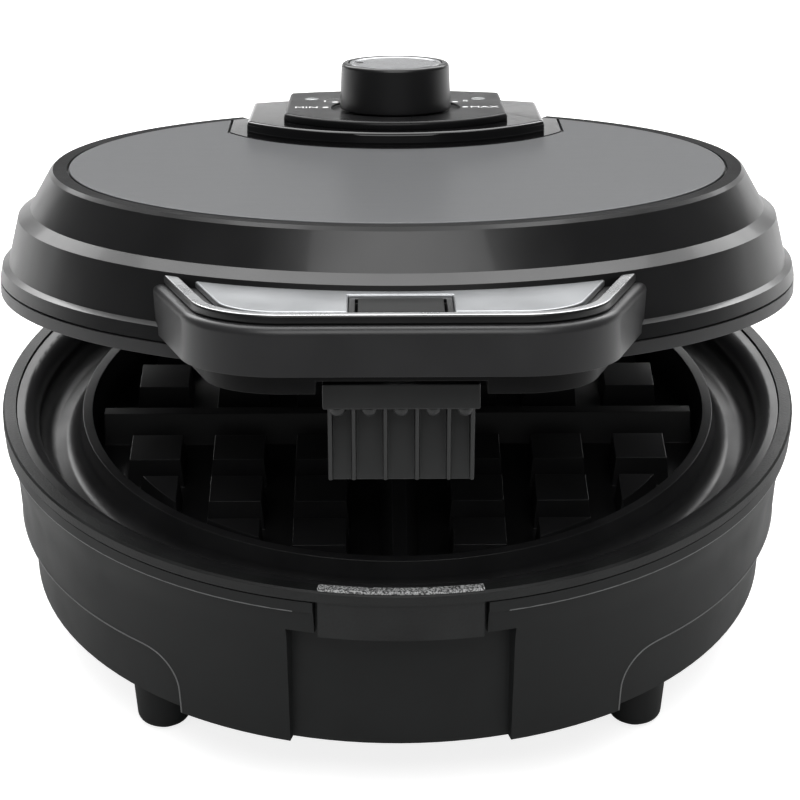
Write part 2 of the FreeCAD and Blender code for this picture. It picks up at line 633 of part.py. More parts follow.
def hinge_bracket():
    """Saddle on the tub's rear wall with two lugs that carry the hinge pin."""
    body = new_body("hinge_bracket")
    extrude(body, draw(body, "YZ_Plane", [box_loop(
        d.cover_flange_radius, d.saddle_low, d.saddle_rear, d.saddle_top)]), d.saddle_half * 2, both=True)
    turn(body, draw(body, "XZ_Plane", [box_loop(
        0, d.saddle_low - d.cut_over, d.saddle_radius, d.saddle_top + d.cut_over)]), cut=True)
    front, rear = d.hinge_y - d.lug_round, d.hinge_y + d.lug_round
    lug = extrude(body, draw(body, "YZ_Plane", [[
        (d.lug_foot_front, d.saddle_low), (d.lug_foot_rear, d.saddle_low), (rear, d.lug_knee),
        (rear, d.hinge_z, (d.hinge_y, d.hinge_z + d.lug_round)), (front, d.hinge_z),
        (front, d.collar_bottom), (d.lug_foot_front, d.saddle_top)]], level=d.lug_inner), d.lug_thick)
    mirror(body, [lug])
    bore = ((d.hinge_y, d.hinge_z), d.pin_radius + d.running_gap)
    extrude(body, draw(body, "YZ_Plane", circles=[bore]), d.saddle_half * 2, cut=True, both=True)
    holes = [((side * d.saddle_screw_x.value, d.saddle_screw_z), d.screw_hole) for side in SIDES]
    extrude(body, draw(body, "XZ_Plane", circles=holes), d.cut_reach, cut=True)
    node("hinge_bracket", body)
    node("hinge_bracket_screws", group([
        screw((side * d.saddle_screw_x.value, d.saddle_rear, d.saddle_screw_z),
              d.saddle_rear - d.saddle_screw_deep, FRONT) for side in SIDES]))
    pin_end = (-d.pin_half, d.hinge_y, d.hinge_z)
    node("hinge_pin", group([rod(d.pin_radius, d.pin_half * 2, pin_end, RIGHT)]))
    clips = []
    for start in (d.lug_inner + d.lug_thick, -d.lug_inner - d.lug_thick - d.clip_thick):
        ring = rod(d.clip_radius, d.clip_thick, (start, d.hinge_y, d.hinge_z), RIGHT)
        hole = rod(d.pin_radius + d.running_gap, d.clip_thick, (start, d.hinge_y, d.hinge_z), RIGHT)
        clips.append(cut(ring, hole))
    node("hinge_pin_clips", group(clips))


def side_circles(x, z, radius):
    """Circles on an upright plane at both sides of the middle."""
    return [((side * x.value, z), radius) for side in SIDES]


def anchor_screws(label, x, seat, z, axis):
    """Screws driven outwards through the lid's wall."""
    screws = [screw((side * x.value, seat, z), d.anchor_long, axis) for side in SIDES]
    node(label, group(screws), swung=True)


def hinge_yoke():
    """Saddle on the lid's rear wall with two arms that turn on the hinge pin."""
    body = new_body("hinge_yoke")
    extrude(body, draw(body, "YZ_Plane", [box_loop(
        d.cover_flange_radius, d.flange_z + d.rim_groove, d.yoke_rear, d.yoke_top)]),
        d.arm_outer * 2, both=True)
    lid_envelope(body)
    front, rear = d.hinge_y - d.arm_round, d.hinge_y + d.arm_round
    arm = extrude(body, draw(body, "YZ_Plane", [[
        (d.arm_front, d.yoke_low), (d.arm_front, d.yoke_top), (d.arm_rear, d.yoke_top),
        (rear, d.hinge_z, (d.hinge_y, d.hinge_z - d.arm_round)), (front, d.hinge_z), (front, d.yoke_low)]],
        level=d.arm_inner), d.arm_outer - d.arm_inner)
    mirror(body, [arm])
    bore = ((d.hinge_y, d.hinge_z), d.pin_radius + d.running_gap)
    extrude(body, draw(body, "YZ_Plane", circles=[bore]), d.saddle_half * 2, cut=True, both=True)
    holes = side_circles(d.yoke_screw_x, d.yoke_screw_z, d.screw_hole)
    extrude(body, draw(body, "XZ_Plane", circles=holes, level=-d.anchor_start),
            d.yoke_seat + d.anchor_long - d.anchor_start + d.hole_gap, cut=True)
    node("hinge_yoke", body, swung=True)
    anchor_screws("hinge_yoke_screws", d.yoke_screw_x, d.yoke_seat, d.yoke_screw_z, REAR)


def lid_housing():
    """Stepped lid shell with a recessed deck for the top plate and a block behind the controls."""
    body = new_body("lid_housing")
    wall = d.lid_wall
    turn(body, draw(body, "XZ_Plane", [[
        (0, d.deck_top), (d.plate_recess, d.deck_top), (d.plate_recess, d.shoulder_top),
        (d.shoulder_flat, d.shoulder_top), (d.shoulder_radius, d.shoulder_z), (d.ledge_in, d.ledge_in_z),
        (d.ledge_out, d.ledge_out_z), (d.skirt_radius, d.flange_z), (d.flange_edge, d.flange_edge_z),
        (d.flange_radius, d.band_top), (d.skirt_radius - wall, d.band_top),
        (d.skirt_radius - wall, d.flange_z), (d.ledge_out - wall, d.ledge_out_z - wall / 2),
        (d.ledge_in - wall, d.ledge_in_z - wall / 2), (d.shoulder_radius - wall / 2, d.deck_low),
        (0, d.deck_low)]]))
    turn(body, draw(body, "YZ_Plane", [box_loop(
        d.rear_block_in, d.rear_block_low, d.rear_block_out, d.deck_top)]),
        half_angle(d.rear_block_half, d.rear_block_out))
    turn(body, draw(body, "YZ_Plane", [box_loop(
        d.skirt_back, d.deck_top, d.rear_block_out + d.cut_over, d.pod_top)]),
        half_angle(d.pod_half + d.plate_gap, d.plate_recess), cut=True)
    bush_hole = ((0, d.knob_y), d.bush_radius + d.hole_gap)
    extrude(body, draw(body, "XY_Plane", circles=[bush_hole], level=d.deck_top), d.cut_over, cut=True)
    start = d.anchor_start
    for x, z, level, seat in ((d.grip_screw_x, d.grip_screw_z, start, d.grip_seat),
                              (d.yoke_screw_x, d.yoke_screw_z, -start, d.yoke_seat)):
        forward = level is start
        extrude(body, draw(body, "XZ_Plane", circles=side_circles(x, z, d.screw_hole), level=level),
                d.cut_reach - start, cut=True, back=forward)
        extrude(body, draw(body, "XZ_Plane", circles=side_circles(x, z, d.spot_radius), level=level),
                seat - start, cut=True, back=forward)
    node("lid_housing", body, swung=True)


def pod_loop(half, back_half, front, corner, back, inset):
    """Bow-fronted outline, drawn in all round by inset: straight cheeks and a back round the lid's axis."""
    side, rear_side, rear = half - inset, back_half - inset, back - inset
    rear_y = leg(rear, rear_side)
    return [(side, corner), (rear_side, rear_y, (0, rear)), (-rear_side, rear_y),
            (-side, corner, (0, front + inset))]


def lid_top_plate():
    """Satin disc let into the lid, open behind for the controls."""
    body = new_body("lid_top_plate")
    thick = d.top_plate_top - d.deck_top
    extrude(body, draw(body, "XY_Plane", circles=[((0, 0), d.top_plate_radius)], level=d.deck_top), thick)
    half, rear = d.skirt_half + d.plate_gap, d.cut_reach
    extrude(body, draw(body, "XY_Plane", [[
        (half, d.skirt_corner), (half, rear), (-half, rear),
        (-half, d.skirt_corner, (0, d.skirt_front - d.plate_gap))]], level=d.deck_top), thick,
        cut=True, back=True)
    node("lid_top_plate", body, swung=True)


def front_corner(edge):
    """Whether an edge is one of a tier's two upright front corners."""
    box = edge.BoundBox
    return max(box.XLength, box.YLength) < 0.01 and abs(box.YMin - d.pod_corner.value) < 0.01


def control_pod():
    """Lower tier of the controls, hollow below, with a skirt flush with the top plate."""
    body = new_body("control_pod")
    tier = (d.pod_half, d.pod_back_half, d.pod_front, d.pod_corner, d.pod_back)
    extrude(body, draw(body, "XY_Plane", [pod_loop(*tier, 0)], level=d.deck_top), d.pod_top - d.deck_top)
    round_edges(body, d.tier_round, front_corner)
    skirt = (d.skirt_half, d.skirt_half, d.skirt_front, d.skirt_corner, d.skirt_back, 0)
    extrude(body, draw(body, "XY_Plane", [pod_loop(*skirt)], level=d.deck_top),
            d.top_plate_top - d.deck_top)
    extrude(body, draw(body, "XY_Plane", [pod_loop(*tier, d.pod_wall)], level=d.deck_top),
            d.pod_top - d.pod_roof - d.deck_top, cut=True, back=True)
    extrude(body, draw(body, "XY_Plane", circles=fascia_holes(), level=d.pod_top), d.cut_over, cut=True)
    node("control_pod", body, swung=True)


def fascia_holes():
    """Holes for the knob's shaft and for the two indicator lenses."""
    lenses = [((side * d.lens_x.value, d.lens_y), d.lens_radius + d.hole_gap) for side in SIDES]
    return [((0, d.knob_y), d.shaft_hole), *lenses]


def control_fascia():
    """Upper tier: the printed panel with a dish round the knob."""
    body = new_body("control_fascia")
    outline = pod_loop(d.fascia_half, d.fascia_back_half, d.fascia_front, d.pod_corner, d.pod_back, 0)
    extrude(body, draw(body, "XY_Plane", [outline], level=d.pod_top), d.fascia_top - d.pod_top)
    round_edges(body, d.tier_round, front_corner)
    extrude(body, draw(body, "XY_Plane", circles=[((0, d.knob_y), d.knob_recess)], level=d.fascia_top),
            d.knob_recess_deep, cut=True)
    extrude(body, draw(body, "XY_Plane", circles=fascia_holes(), level=d.fascia_top), d.cut_over, cut=True)
    node("control_fascia", body, swung=True)


def indicators():
    """Two light pipes over a small board."""
    node("indicator_lenses", group([
        rod(d.lens_radius, d.lens_top - d.board_top, (side * d.lens_x.value, d.lens_y, d.board_top))
        for side in SIDES]), swung=True)
    board = doc.addObject("Part::Box", "board")
    bind(board, "Length", d.board_half * 2)
    bind(board, "Width", d.board_deep)
    bind(board, "Height", d.board_top - d.deck_top)
    bind(board, "Placement.Base.x", -d.board_half)
    bind(board, "Placement.Base.y", d.board_front)
    bind(board, "Placement.Base.z", d.deck_top)
    node("indicator_board", group([board]), swung=True)


def thermostat():
    """Capsule under the deck, with a bush for the knob's shaft."""
    capsule = rod(d.thermostat_radius, d.deck_low - d.thermostat_low, (0, d.knob_y, d.thermostat_low))
    bush = rod(d.bush_radius, d.bush_top - d.deck_low, (0, d.knob_y, d.deck_low))
    floor = d.shaft_low - d.rim_groove
    bore = rod(d.shaft_radius + d.running_gap, d.bush_top - floor, (0, d.knob_y, floor))
    node("thermostat", cut(fuse([capsule, bush]), bore), swung=True)


def knob():
    """Temperature knob with a metal cap, on the thermostat's shaft."""
    body = new_body("knob_body")
    bore = d.shaft_radius + d.running_gap
    floor = d.knob_top - d.cap_recess
    cap_hole = d.cap_radius + d.cap_gap
    turn(body, draw(body, "XZ_Plane", [[
        (bore, d.knob_bottom), (d.knob_radius, d.knob_bottom), (d.knob_neck, d.knob_top - d.knob_round),
        (d.knob_neck - d.knob_round, d.knob_top), (cap_hole, d.knob_top), (cap_hole, floor), (0, floor),
        (0, d.shaft_top + d.hole_gap), (bore, d.shaft_top + d.hole_gap)]]))
    body.Placement.Base = Vector(0, d.knob_y.value, 0)
    node("knob_body", body, swung=True)
    node("knob_cap", group([rod(d.cap_radius, d.cap_recess, (0, d.knob_y, floor))]), swung=True)
    node("thermostat_shaft", group([
        rod(d.shaft_radius, d.shaft_top - d.shaft_low, (0, d.knob_y, d.shaft_low))]), swung=True)


def upper_plate():
    """Cast plate in the lid: textured rim band, sealing ring and waffle posts."""
    body = new_body("upper_plate")
    groove_in, groove_low = d.band_radius - d.rim_groove_deep, d.band_top - d.rim_groove
    turn(body, draw(body, "XZ_Plane", [[
        (d.band_radius, d.lid_bottom), (d.band_radius, groove_low), (groove_in, groove_low),
        (groove_in, d.band_top), (d.upper_step, d.band_top), (d.upper_back_radius, d.upper_back),
        (0, d.upper_back), (0, d.upper_grid), (d.grid_radius, d.upper_grid),
        (d.upper_ring_in, d.upper_ring_low), (d.upper_ring_out, d.upper_ring_low),
        (d.upper_ring_root, d.upper_web), (d.band_inner, d.upper_web), (d.band_lip, d.lid_bottom)]]))
    posts_and_dividers(body, d.upper_grid, d.post_tall, True)
    back = d.upper_back
    tray = back + d.upper_boss_tall
    extrude(body, draw(body, "XY_Plane", circles=boss_circles(d.boss_radius), level=back), d.upper_boss_tall)
    holes = boss_circles(d.screw_hole)
    extrude(body, draw(body, "XY_Plane", circles=holes, level=tray), d.screw_deep, cut=True)
    node("upper_plate", body, swung=True)
    heater("upper", back, tray, 1, swung=True)


def handle_loop(inset):
    """Handle's outline from above, drawn in by inset: round corners and cheeks that splay into the lid."""
    lean = d.handle_lean
    tangent, middle = trig("tan", as_size(45) - lean / 2), as_size(45) + lean / 2
    half = d.handle_half - tangent * inset
    front, corner = d.handle_front - inset, d.handle_corner - inset
    reach = corner * tangent
    cheek_x, cheek_y = half + reach * trig("sin", lean), reach * trig("cos", lean) - front
    bow_x = half - reach + corner * trig("cos", middle)
    bow_y = corner - corner * trig("sin", middle) - front
    rear_x = half + (front - d.handle_rear) * trig("tan", lean)
    return [(rear_x, -d.handle_rear), (cheek_x, cheek_y, (bow_x, bow_y)), (half - reach, -front),
            (reach - half, -front, (-bow_x, bow_y)), (-cheek_x, cheek_y), (-rear_x, -d.handle_rear)]


def handle_screw_circles(radius):
    """Circles at the handle's two screws."""
    return [((side * d.handle_screw_x.value, -d.handle_screw_y), radius) for side in SIDES]


def handle_body():
    """Hollow grip with screw bosses and two ears for the latch pin."""
    body = new_body("handle_body")
    tall = d.handle_deck - d.handle_bottom
    extrude(body, draw(body, "XY_Plane", [handle_loop(0)], level=d.handle_bottom), tall)
    deck, rear = d.handle_deck.value, -d.handle_rear.value
    round_edges(body, d.handle_round, lambda edge: abs(edge.BoundBox.ZMin - deck) < 0.01
                and edge.BoundBox.YMin < rear - 0.01)
    extrude(body, draw(body, "XY_Plane", [handle_loop(d.handle_wall)], level=d.handle_bottom),
            tall - d.handle_roof, cut=True, back=True)
    roof_low = d.handle_deck - d.handle_roof
    extrude(body, draw(body, "XY_Plane", circles=handle_screw_circles(d.handle_boss), level=d.handle_bottom),
            roof_low - d.handle_bottom + d.rim_groove)
    anchor = d.anchor_start
    x, z = d.grip_screw_x, d.grip_screw_z
    extrude(body, draw(body, "XZ_Plane", circles=side_circles(x, z, d.handle_boss), level=anchor),
            d.grip_boss_end - anchor)
    extrude(body, draw(body, "XZ_Plane", circles=side_circles(x, z, d.screw_hole), level=anchor),
            d.grip_seat + d.anchor_long - anchor + d.hole_gap, cut=True, back=True)
    ear = extrude(body, draw(body, "YZ_Plane", [box_loop(
        d.handle_wall / 2 - d.handle_front, d.handle_bottom, -d.ear_rear, roof_low + d.rim_groove)],
        level=d.ear_inner), d.ear_thick)
    mirror(body, [ear])
    extrude(body, draw(body, "XY_Plane", circles=handle_screw_circles(d.screw_hole), level=d.handle_bottom),
            d.screw_deep, cut=True, back=True)
    extrude(body, draw(body, "XY_Plane", [box_loop(-d.well_half, -d.well_front, d.well_half, -d.well_rear)],
                       level=d.handle_deck), d.cut_over, cut=True)
    bore = ((-d.pivot_y, d.pivot_z), d.pivot_pin + d.running_gap)
    across = (d.ear_inner + d.ear_thick) * 2
    extrude(body, draw(body, "YZ_Plane", circles=[bore]), across, cut=True, both=True)
    lid_envelope(body)
    node("handle_body", body, swung=True)
    anchor_screws("handle_anchor_screws", d.grip_screw_x, -d.grip_seat, d.grip_screw_z, FRONT)


def handle_frame():
    """Raised frame round the handle's top cover."""
    body = new_body("handle_frame")
    loops = [handle_loop(d.frame_inset), handle_loop(d.frame_inset + d.frame_wide)]
    tall = d.frame_top - d.handle_deck
    extrude(body, draw(body, "XY_Plane", loops[:1], level=d.handle_deck), tall)
    extrude(body, draw(body, "XY_Plane", loops[1:], level=d.handle_deck), tall, cut=True, back=True)
    lid_envelope(body)
    node("handle_frame", body, swung=True)


def handle_top_cover():
    """Satin cover with a notch for the release tab."""
    body = new_body("handle_top_cover")
    tall = d.handle_cover_top - d.handle_deck
    extrude(body, draw(body, "XY_Plane", [handle_loop(d.cover_inset)], level=d.handle_deck), tall)
    extrude(body, draw(body, "XY_Plane", [box_loop(
        -d.notch_half, -d.handle_front, d.notch_half, -d.notch_rear)], level=d.handle_deck), tall,
        cut=True, back=True)
    lid_envelope(body)
    node("handle_top_cover", body, swung=True)


def release_bezel():
    """Stepped surround in the notch."""
    body = new_body("release_bezel")
    out, rear = d.notch_half - d.bezel_gap, -d.notch_rear - d.bezel_gap
    front = d.cover_inset - d.handle_front
    inside, inner_rear = out - d.bezel_wide, rear - d.bezel_wide
    extrude(body, draw(body, "XY_Plane", [[
        (out, front), (out, rear), (-out, rear), (-out, front), (-inside, front), (-inside, inner_rear),
        (inside, inner_rear), (inside, front)]], level=d.handle_deck), d.bezel_top - d.handle_deck)
    node("release_bezel", body, swung=True)


def handle_belly():
    """Cover under the handle, slotted for the latch, with its two screws."""
    body = new_body("handle_belly")
    tall = d.handle_bottom - d.belly_bottom
    extrude(body, draw(body, "XY_Plane", [handle_loop(d.belly_inset)], level=d.belly_bottom), tall)
    extrude(body, draw(body, "XY_Plane", [box_loop(
        -d.latch_slot, -d.latch_slot_front, d.latch_slot, -d.handle_rear)], level=d.belly_bottom), tall,
        cut=True, back=True)
    extrude(body, draw(body, "XY_Plane", [box_loop(
        -d.latch_slot, -d.handle_front, d.latch_slot, -d.handle_rear)], level=d.belly_bottom),
        d.slot_roof - d.belly_bottom, cut=True, back=True)
    extrude(body, draw(body, "XY_Plane", circles=handle_screw_circles(d.screw_head + d.hole_gap),
                       level=d.belly_bottom), d.sink_deep, cut=True, back=True)
    extrude(body, draw(body, "XY_Plane", circles=handle_screw_circles(d.screw_hole), level=d.belly_bottom),
            tall, cut=True, back=True)
    lid_envelope(body)
    node("handle_belly", body, swung=True)
    seat = d.belly_bottom + d.screw_head_tall
    long = tall + d.screw_deep - d.sink_deep * 2
    screws = [screw((side * d.handle_screw_x.value, -d.handle_screw_y, seat), long, UP) for side in SIDES]
    node("handle_screws", group(screws), swung=True)


def latch():
    """Sprung lever in the handle: flange, ribbed plate with a hook behind, and a forked arm on the pin."""
    body = new_body("latch")
    front = -d.latch_back - d.latch_thick
    plate = [(-d.latch_back, d.latch_flange_low), (front, d.latch_flange_low), (front, d.latch_low),
             (-d.latch_back, d.latch_low), (-d.latch_back, d.hook_root), (-d.hook_tip, d.hook_nose),
             (-d.hook_tip, d.hook_top), (-d.latch_back, d.hook_top)]
    extrude(body, draw(body, "YZ_Plane", [box_loop(
        -d.latch_flange_front, d.latch_flange_low, -d.latch_back, d.latch_flange_top)]),
        d.latch_flange_half * 2, both=True)
    extrude(body, draw(body, "YZ_Plane", [plate]), d.latch_half * 2, both=True)
    edge = d.latch_half - d.rib_thick
    starts = [d.rib_pitch / 2 - d.rib_thick / 2, d.rib_pitch * 1.5 - d.rib_thick / 2, edge]
    ribs = [extrude(body, draw(body, "YZ_Plane", [[
        (front, d.latch_flange_low), (-d.rib_front, d.latch_flange_low), (front - d.rib_foot, d.latch_low),
        (front, d.latch_low)]], level=start), d.rib_thick) for start in starts]
    lever = extrude(body, draw(body, "YZ_Plane", [[
        (-d.latch_back, d.latch_flange_top), (-d.lever_foot, d.latch_flange_top), (-d.pivot_y, d.lever_heel),
        (-d.pivot_y, d.lever_top), (-d.lever_rear, d.lever_top), (-d.latch_back, d.lever_rear_z)]],
        level=d.lever_inner), d.lever_outer - d.lever_inner)
    boss = extrude(body, draw(body, "YZ_Plane", circles=[((-d.pivot_y, d.pivot_z), d.pivot_boss)],
                              level=d.lever_inner), d.lever_outer - d.lever_inner)
    mirror(body, [*ribs, lever, boss])
    bore = ((-d.pivot_y, d.pivot_z), d.pivot_pin + d.running_gap)
    extrude(body, draw(body, "YZ_Plane", circles=[bore]), d.lever_outer * 2, cut=True, both=True)
    node("latch", body, swung=True)


def latch_pin_and_spring():
    """Pivot pin across the handle's ears, and the coil round its middle as one plain sleeve."""
    half = d.ear_inner + d.ear_thick
    pin = rod(d.pivot_pin, half * 2, (-half, -d.pivot_y, d.pivot_z), RIGHT)
    node("latch_pin", group([pin]), swung=True)
    start = (-d.spring_half, -d.pivot_y, d.pivot_z)
    sleeve = rod(d.spring_radius, d.spring_half * 2, start, RIGHT)
    hole = rod(d.pivot_pin + d.hole_gap, d.spring_half * 2, start, RIGHT)
    node("latch_spring", cut(sleeve, hole), swung=True)


def release_tab():
    """Thumb tab on a stem that stands on the latch's arm."""
    body = new_body("release_tab")
    extrude(body, draw(body, "XY_Plane", [box_loop(-d.tab_half, -d.tab_front, d.tab_half, -d.tab_rear)],
                       level=d.tab_low), d.tab_top - d.tab_low)
    extrude(body, draw(body, "XY_Plane", [box_loop(-d.stem_half, -d.stem_front, d.stem_half, -d.stem_rear)],
                       level=d.lever_top), d.tab_low - d.lever_top)
    node("release_tab", body, swung=True)


def write_nodes():
    """Check every object and every sub-part, then write one file for each node."""
    doc.recompute()
    failed = [thing.Name for thing in doc.Objects if {"Invalid", "Error"} & set(thing.State)]
    if failed:
        raise RuntimeError(f"objects that failed: {failed}")
    for label, thing in nodes.items():
        if thing.Shape.isNull() or not thing.Shape.isValid():
            raise RuntimeError(f"{label} has no valid shape")
    os.makedirs("parts", exist_ok=True)
    for label, thing in nodes.items():
        thing.Shape.exportStep(f"parts/{label}.step")
        print(f"{label}: {len(thing.Shape.Solids)} solid(s), {thing.Shape.Volume / 1000:.2f} cm3")


for make in (base_housing, base_rim, catch_strip, bottom_cover, feet, lower_plate, wiring_block, cord_gland,
             hinge_bracket, hinge_yoke, lid_housing, lid_top_plate, control_pod, control_fascia, indicators,
             thermostat, knob, upper_plate, handle_body, handle_frame, handle_top_cover, release_bezel,
             handle_belly, latch, latch_pin_and_spring, release_tab):
    make()
write_nodes()
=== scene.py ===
"""Dressed scene of a round waffle maker with an overflow moat, its lid held ajar on a rear hinge.

Lengths of the object are written in millimetres and turned to metres where a mesh is made, and those of
the studio are in metres. Pieces of the lid are modelled with the lid shut and then swung by LID_POSE, which
is where the lid stands at rest.
"""
from __future__ import annotations

import json
import logging
import math
from dataclasses import dataclass
from enum import Enum
from typing import Any, Callable, Iterable, Sequence

import bmesh
import bpy
from mathutils import Matrix, Vector

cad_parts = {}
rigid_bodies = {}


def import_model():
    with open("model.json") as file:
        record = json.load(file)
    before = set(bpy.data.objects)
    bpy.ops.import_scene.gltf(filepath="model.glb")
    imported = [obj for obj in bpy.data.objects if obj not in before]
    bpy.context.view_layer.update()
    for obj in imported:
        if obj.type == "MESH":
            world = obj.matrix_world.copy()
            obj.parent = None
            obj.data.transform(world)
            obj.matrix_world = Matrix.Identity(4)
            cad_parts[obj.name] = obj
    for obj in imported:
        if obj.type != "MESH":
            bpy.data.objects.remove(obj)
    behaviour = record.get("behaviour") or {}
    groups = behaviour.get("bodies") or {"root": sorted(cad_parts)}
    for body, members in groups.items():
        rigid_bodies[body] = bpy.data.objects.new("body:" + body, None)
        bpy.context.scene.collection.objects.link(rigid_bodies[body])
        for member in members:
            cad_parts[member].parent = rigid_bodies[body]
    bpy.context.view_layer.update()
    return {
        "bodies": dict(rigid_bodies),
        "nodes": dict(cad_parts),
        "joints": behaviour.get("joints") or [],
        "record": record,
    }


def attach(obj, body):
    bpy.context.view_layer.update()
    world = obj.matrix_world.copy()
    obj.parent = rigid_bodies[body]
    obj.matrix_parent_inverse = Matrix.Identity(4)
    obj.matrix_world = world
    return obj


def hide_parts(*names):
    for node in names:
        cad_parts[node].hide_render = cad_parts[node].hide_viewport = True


Flat = tuple[float, float]
Point = tuple[float, float, float]
Colour = tuple[float, float, float, float]

MM = 0.001
HINGE = Vector((0.0, 130.0, 78.0)) * MM
LID_TILT = math.radians(-14.24)
LID_POSE = Matrix.Translation(HINGE) @ Matrix.Rotation(LID_TILT, 4, "X") @ Matrix.Translation(-HINGE)
LID_SHUT = LID_POSE.inverted()
WHITE = "#ffffff"
# azimuth of the object's front, in degrees from X
FRONT = 270.0
# points this close in height, in millimetres, count as level
LEVEL_SLACK = 0.02
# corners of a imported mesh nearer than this, in millimetres, are one corner
MERGE = 0.004
# facets that differ by less than this, in degrees, are one face
FLATNESS = 0.4
# steps across a rolled edge
ROLL_STEPS = 5

log = logging.getLogger("waffle_maker")


class Body(Enum):
    """Bodies that a piece can ride on."""

    BASE = "base"
    LID = "lid"
    KNOB = "knob"
    LATCH = "latch"


class Pattern(Enum):
    """How a surface was made, which sets what its pattern looks like."""

    GRAIN = "spark-eroded mould grain"
    PEEL = "soft waves of a sprayed or moulded skin"
    SAND = "coarse sand texture"
    SPUN = "fine rings from turning"
    BRUSHED = "straight fine lines"
    FLECK = "two-tone flecks"


# octaves of the noise under a pattern, with FINE_DETAIL for the others
NOISE_DETAIL = {Pattern.PEEL: 1.0, Pattern.SAND: 2.0}
FINE_DETAIL = 3.0
NOISE_ROUGHNESS = 0.55
# handling and moulding leave soft clouds in the gloss, this many millimetres across
CLOUD = 18.0
CLOUD_DETAIL = 2.0
CLOUD_RANGE = (0.4, 1.1)
# where dark flecks end and the light ground begins
FLECK_EDGES = (0.42, 0.58)
# brushing draws the noise out along X
BRUSH_STRETCH = (0.03, 1.0, 1.0)
# the wave texture multiplies its scale by this
WAVE_FACTOR = 20.0
RING_WOBBLE = 0.6
LEAST_ROUGHNESS = 0.02
COAT_ROUGHNESS = 0.08


def linear(code: str) -> Colour:
    """Turn an sRGB hex colour into linear light.

    Args:
        code: Colour as "#rrggbb".

    Returns:
        Red, green, blue and alpha.
    """
    parts = [int(code[i:i + 2], 16) / 255.0 for i in (1, 3, 5)]
    light = [c / 12.92 if c <= 0.04045 else ((c + 0.055) / 1.055) ** 2.4 for c in parts]
    return light[0], light[1], light[2], 1.0


def bare_tree(owner: bpy.types.Material | bpy.types.World) -> bpy.types.NodeTree:
    """Give a material or world an empty node tree.

    Args:
        owner: What gets the tree.

    Returns:
        The tree.
    """
    owner.use_nodes = True
    owner.node_tree.nodes.clear()
    return owner.node_tree


def add_node(tree: bpy.types.NodeTree, kind: str, inputs: dict[Any, Any] | None = None,
             **settings: Any) -> bpy.types.Node:
    """Add a node, set its properties, and fill or link its inputs.

    Args:
        tree: Tree that gets the node.
        kind: The node's type name.
        inputs: Values or output sockets by input name or index.
        **settings: The node's own properties.

    Returns:
        The new node.
    """
    node = tree.nodes.new(kind)
    for name, value in settings.items():
        setattr(node, name, value)
    for name, value in (inputs or {}).items():
        socket = node.inputs[name]
        if isinstance(value, bpy.types.NodeSocket):
            tree.links.new(value, socket)
        else:
            socket.default_value = value
    return node


def combine(tree: bpy.types.NodeTree, operation: str, *terms: Any) -> bpy.types.NodeSocket:
    """Work out a number from others.

    Args:
        tree: Tree that gets the node.
        operation: What is done with the terms.
        *terms: Values or output sockets.

    Returns:
        The socket that gives the result.
    """
    return add_node(tree, "ShaderNodeMath", dict(enumerate(terms)), operation=operation).outputs["Value"]


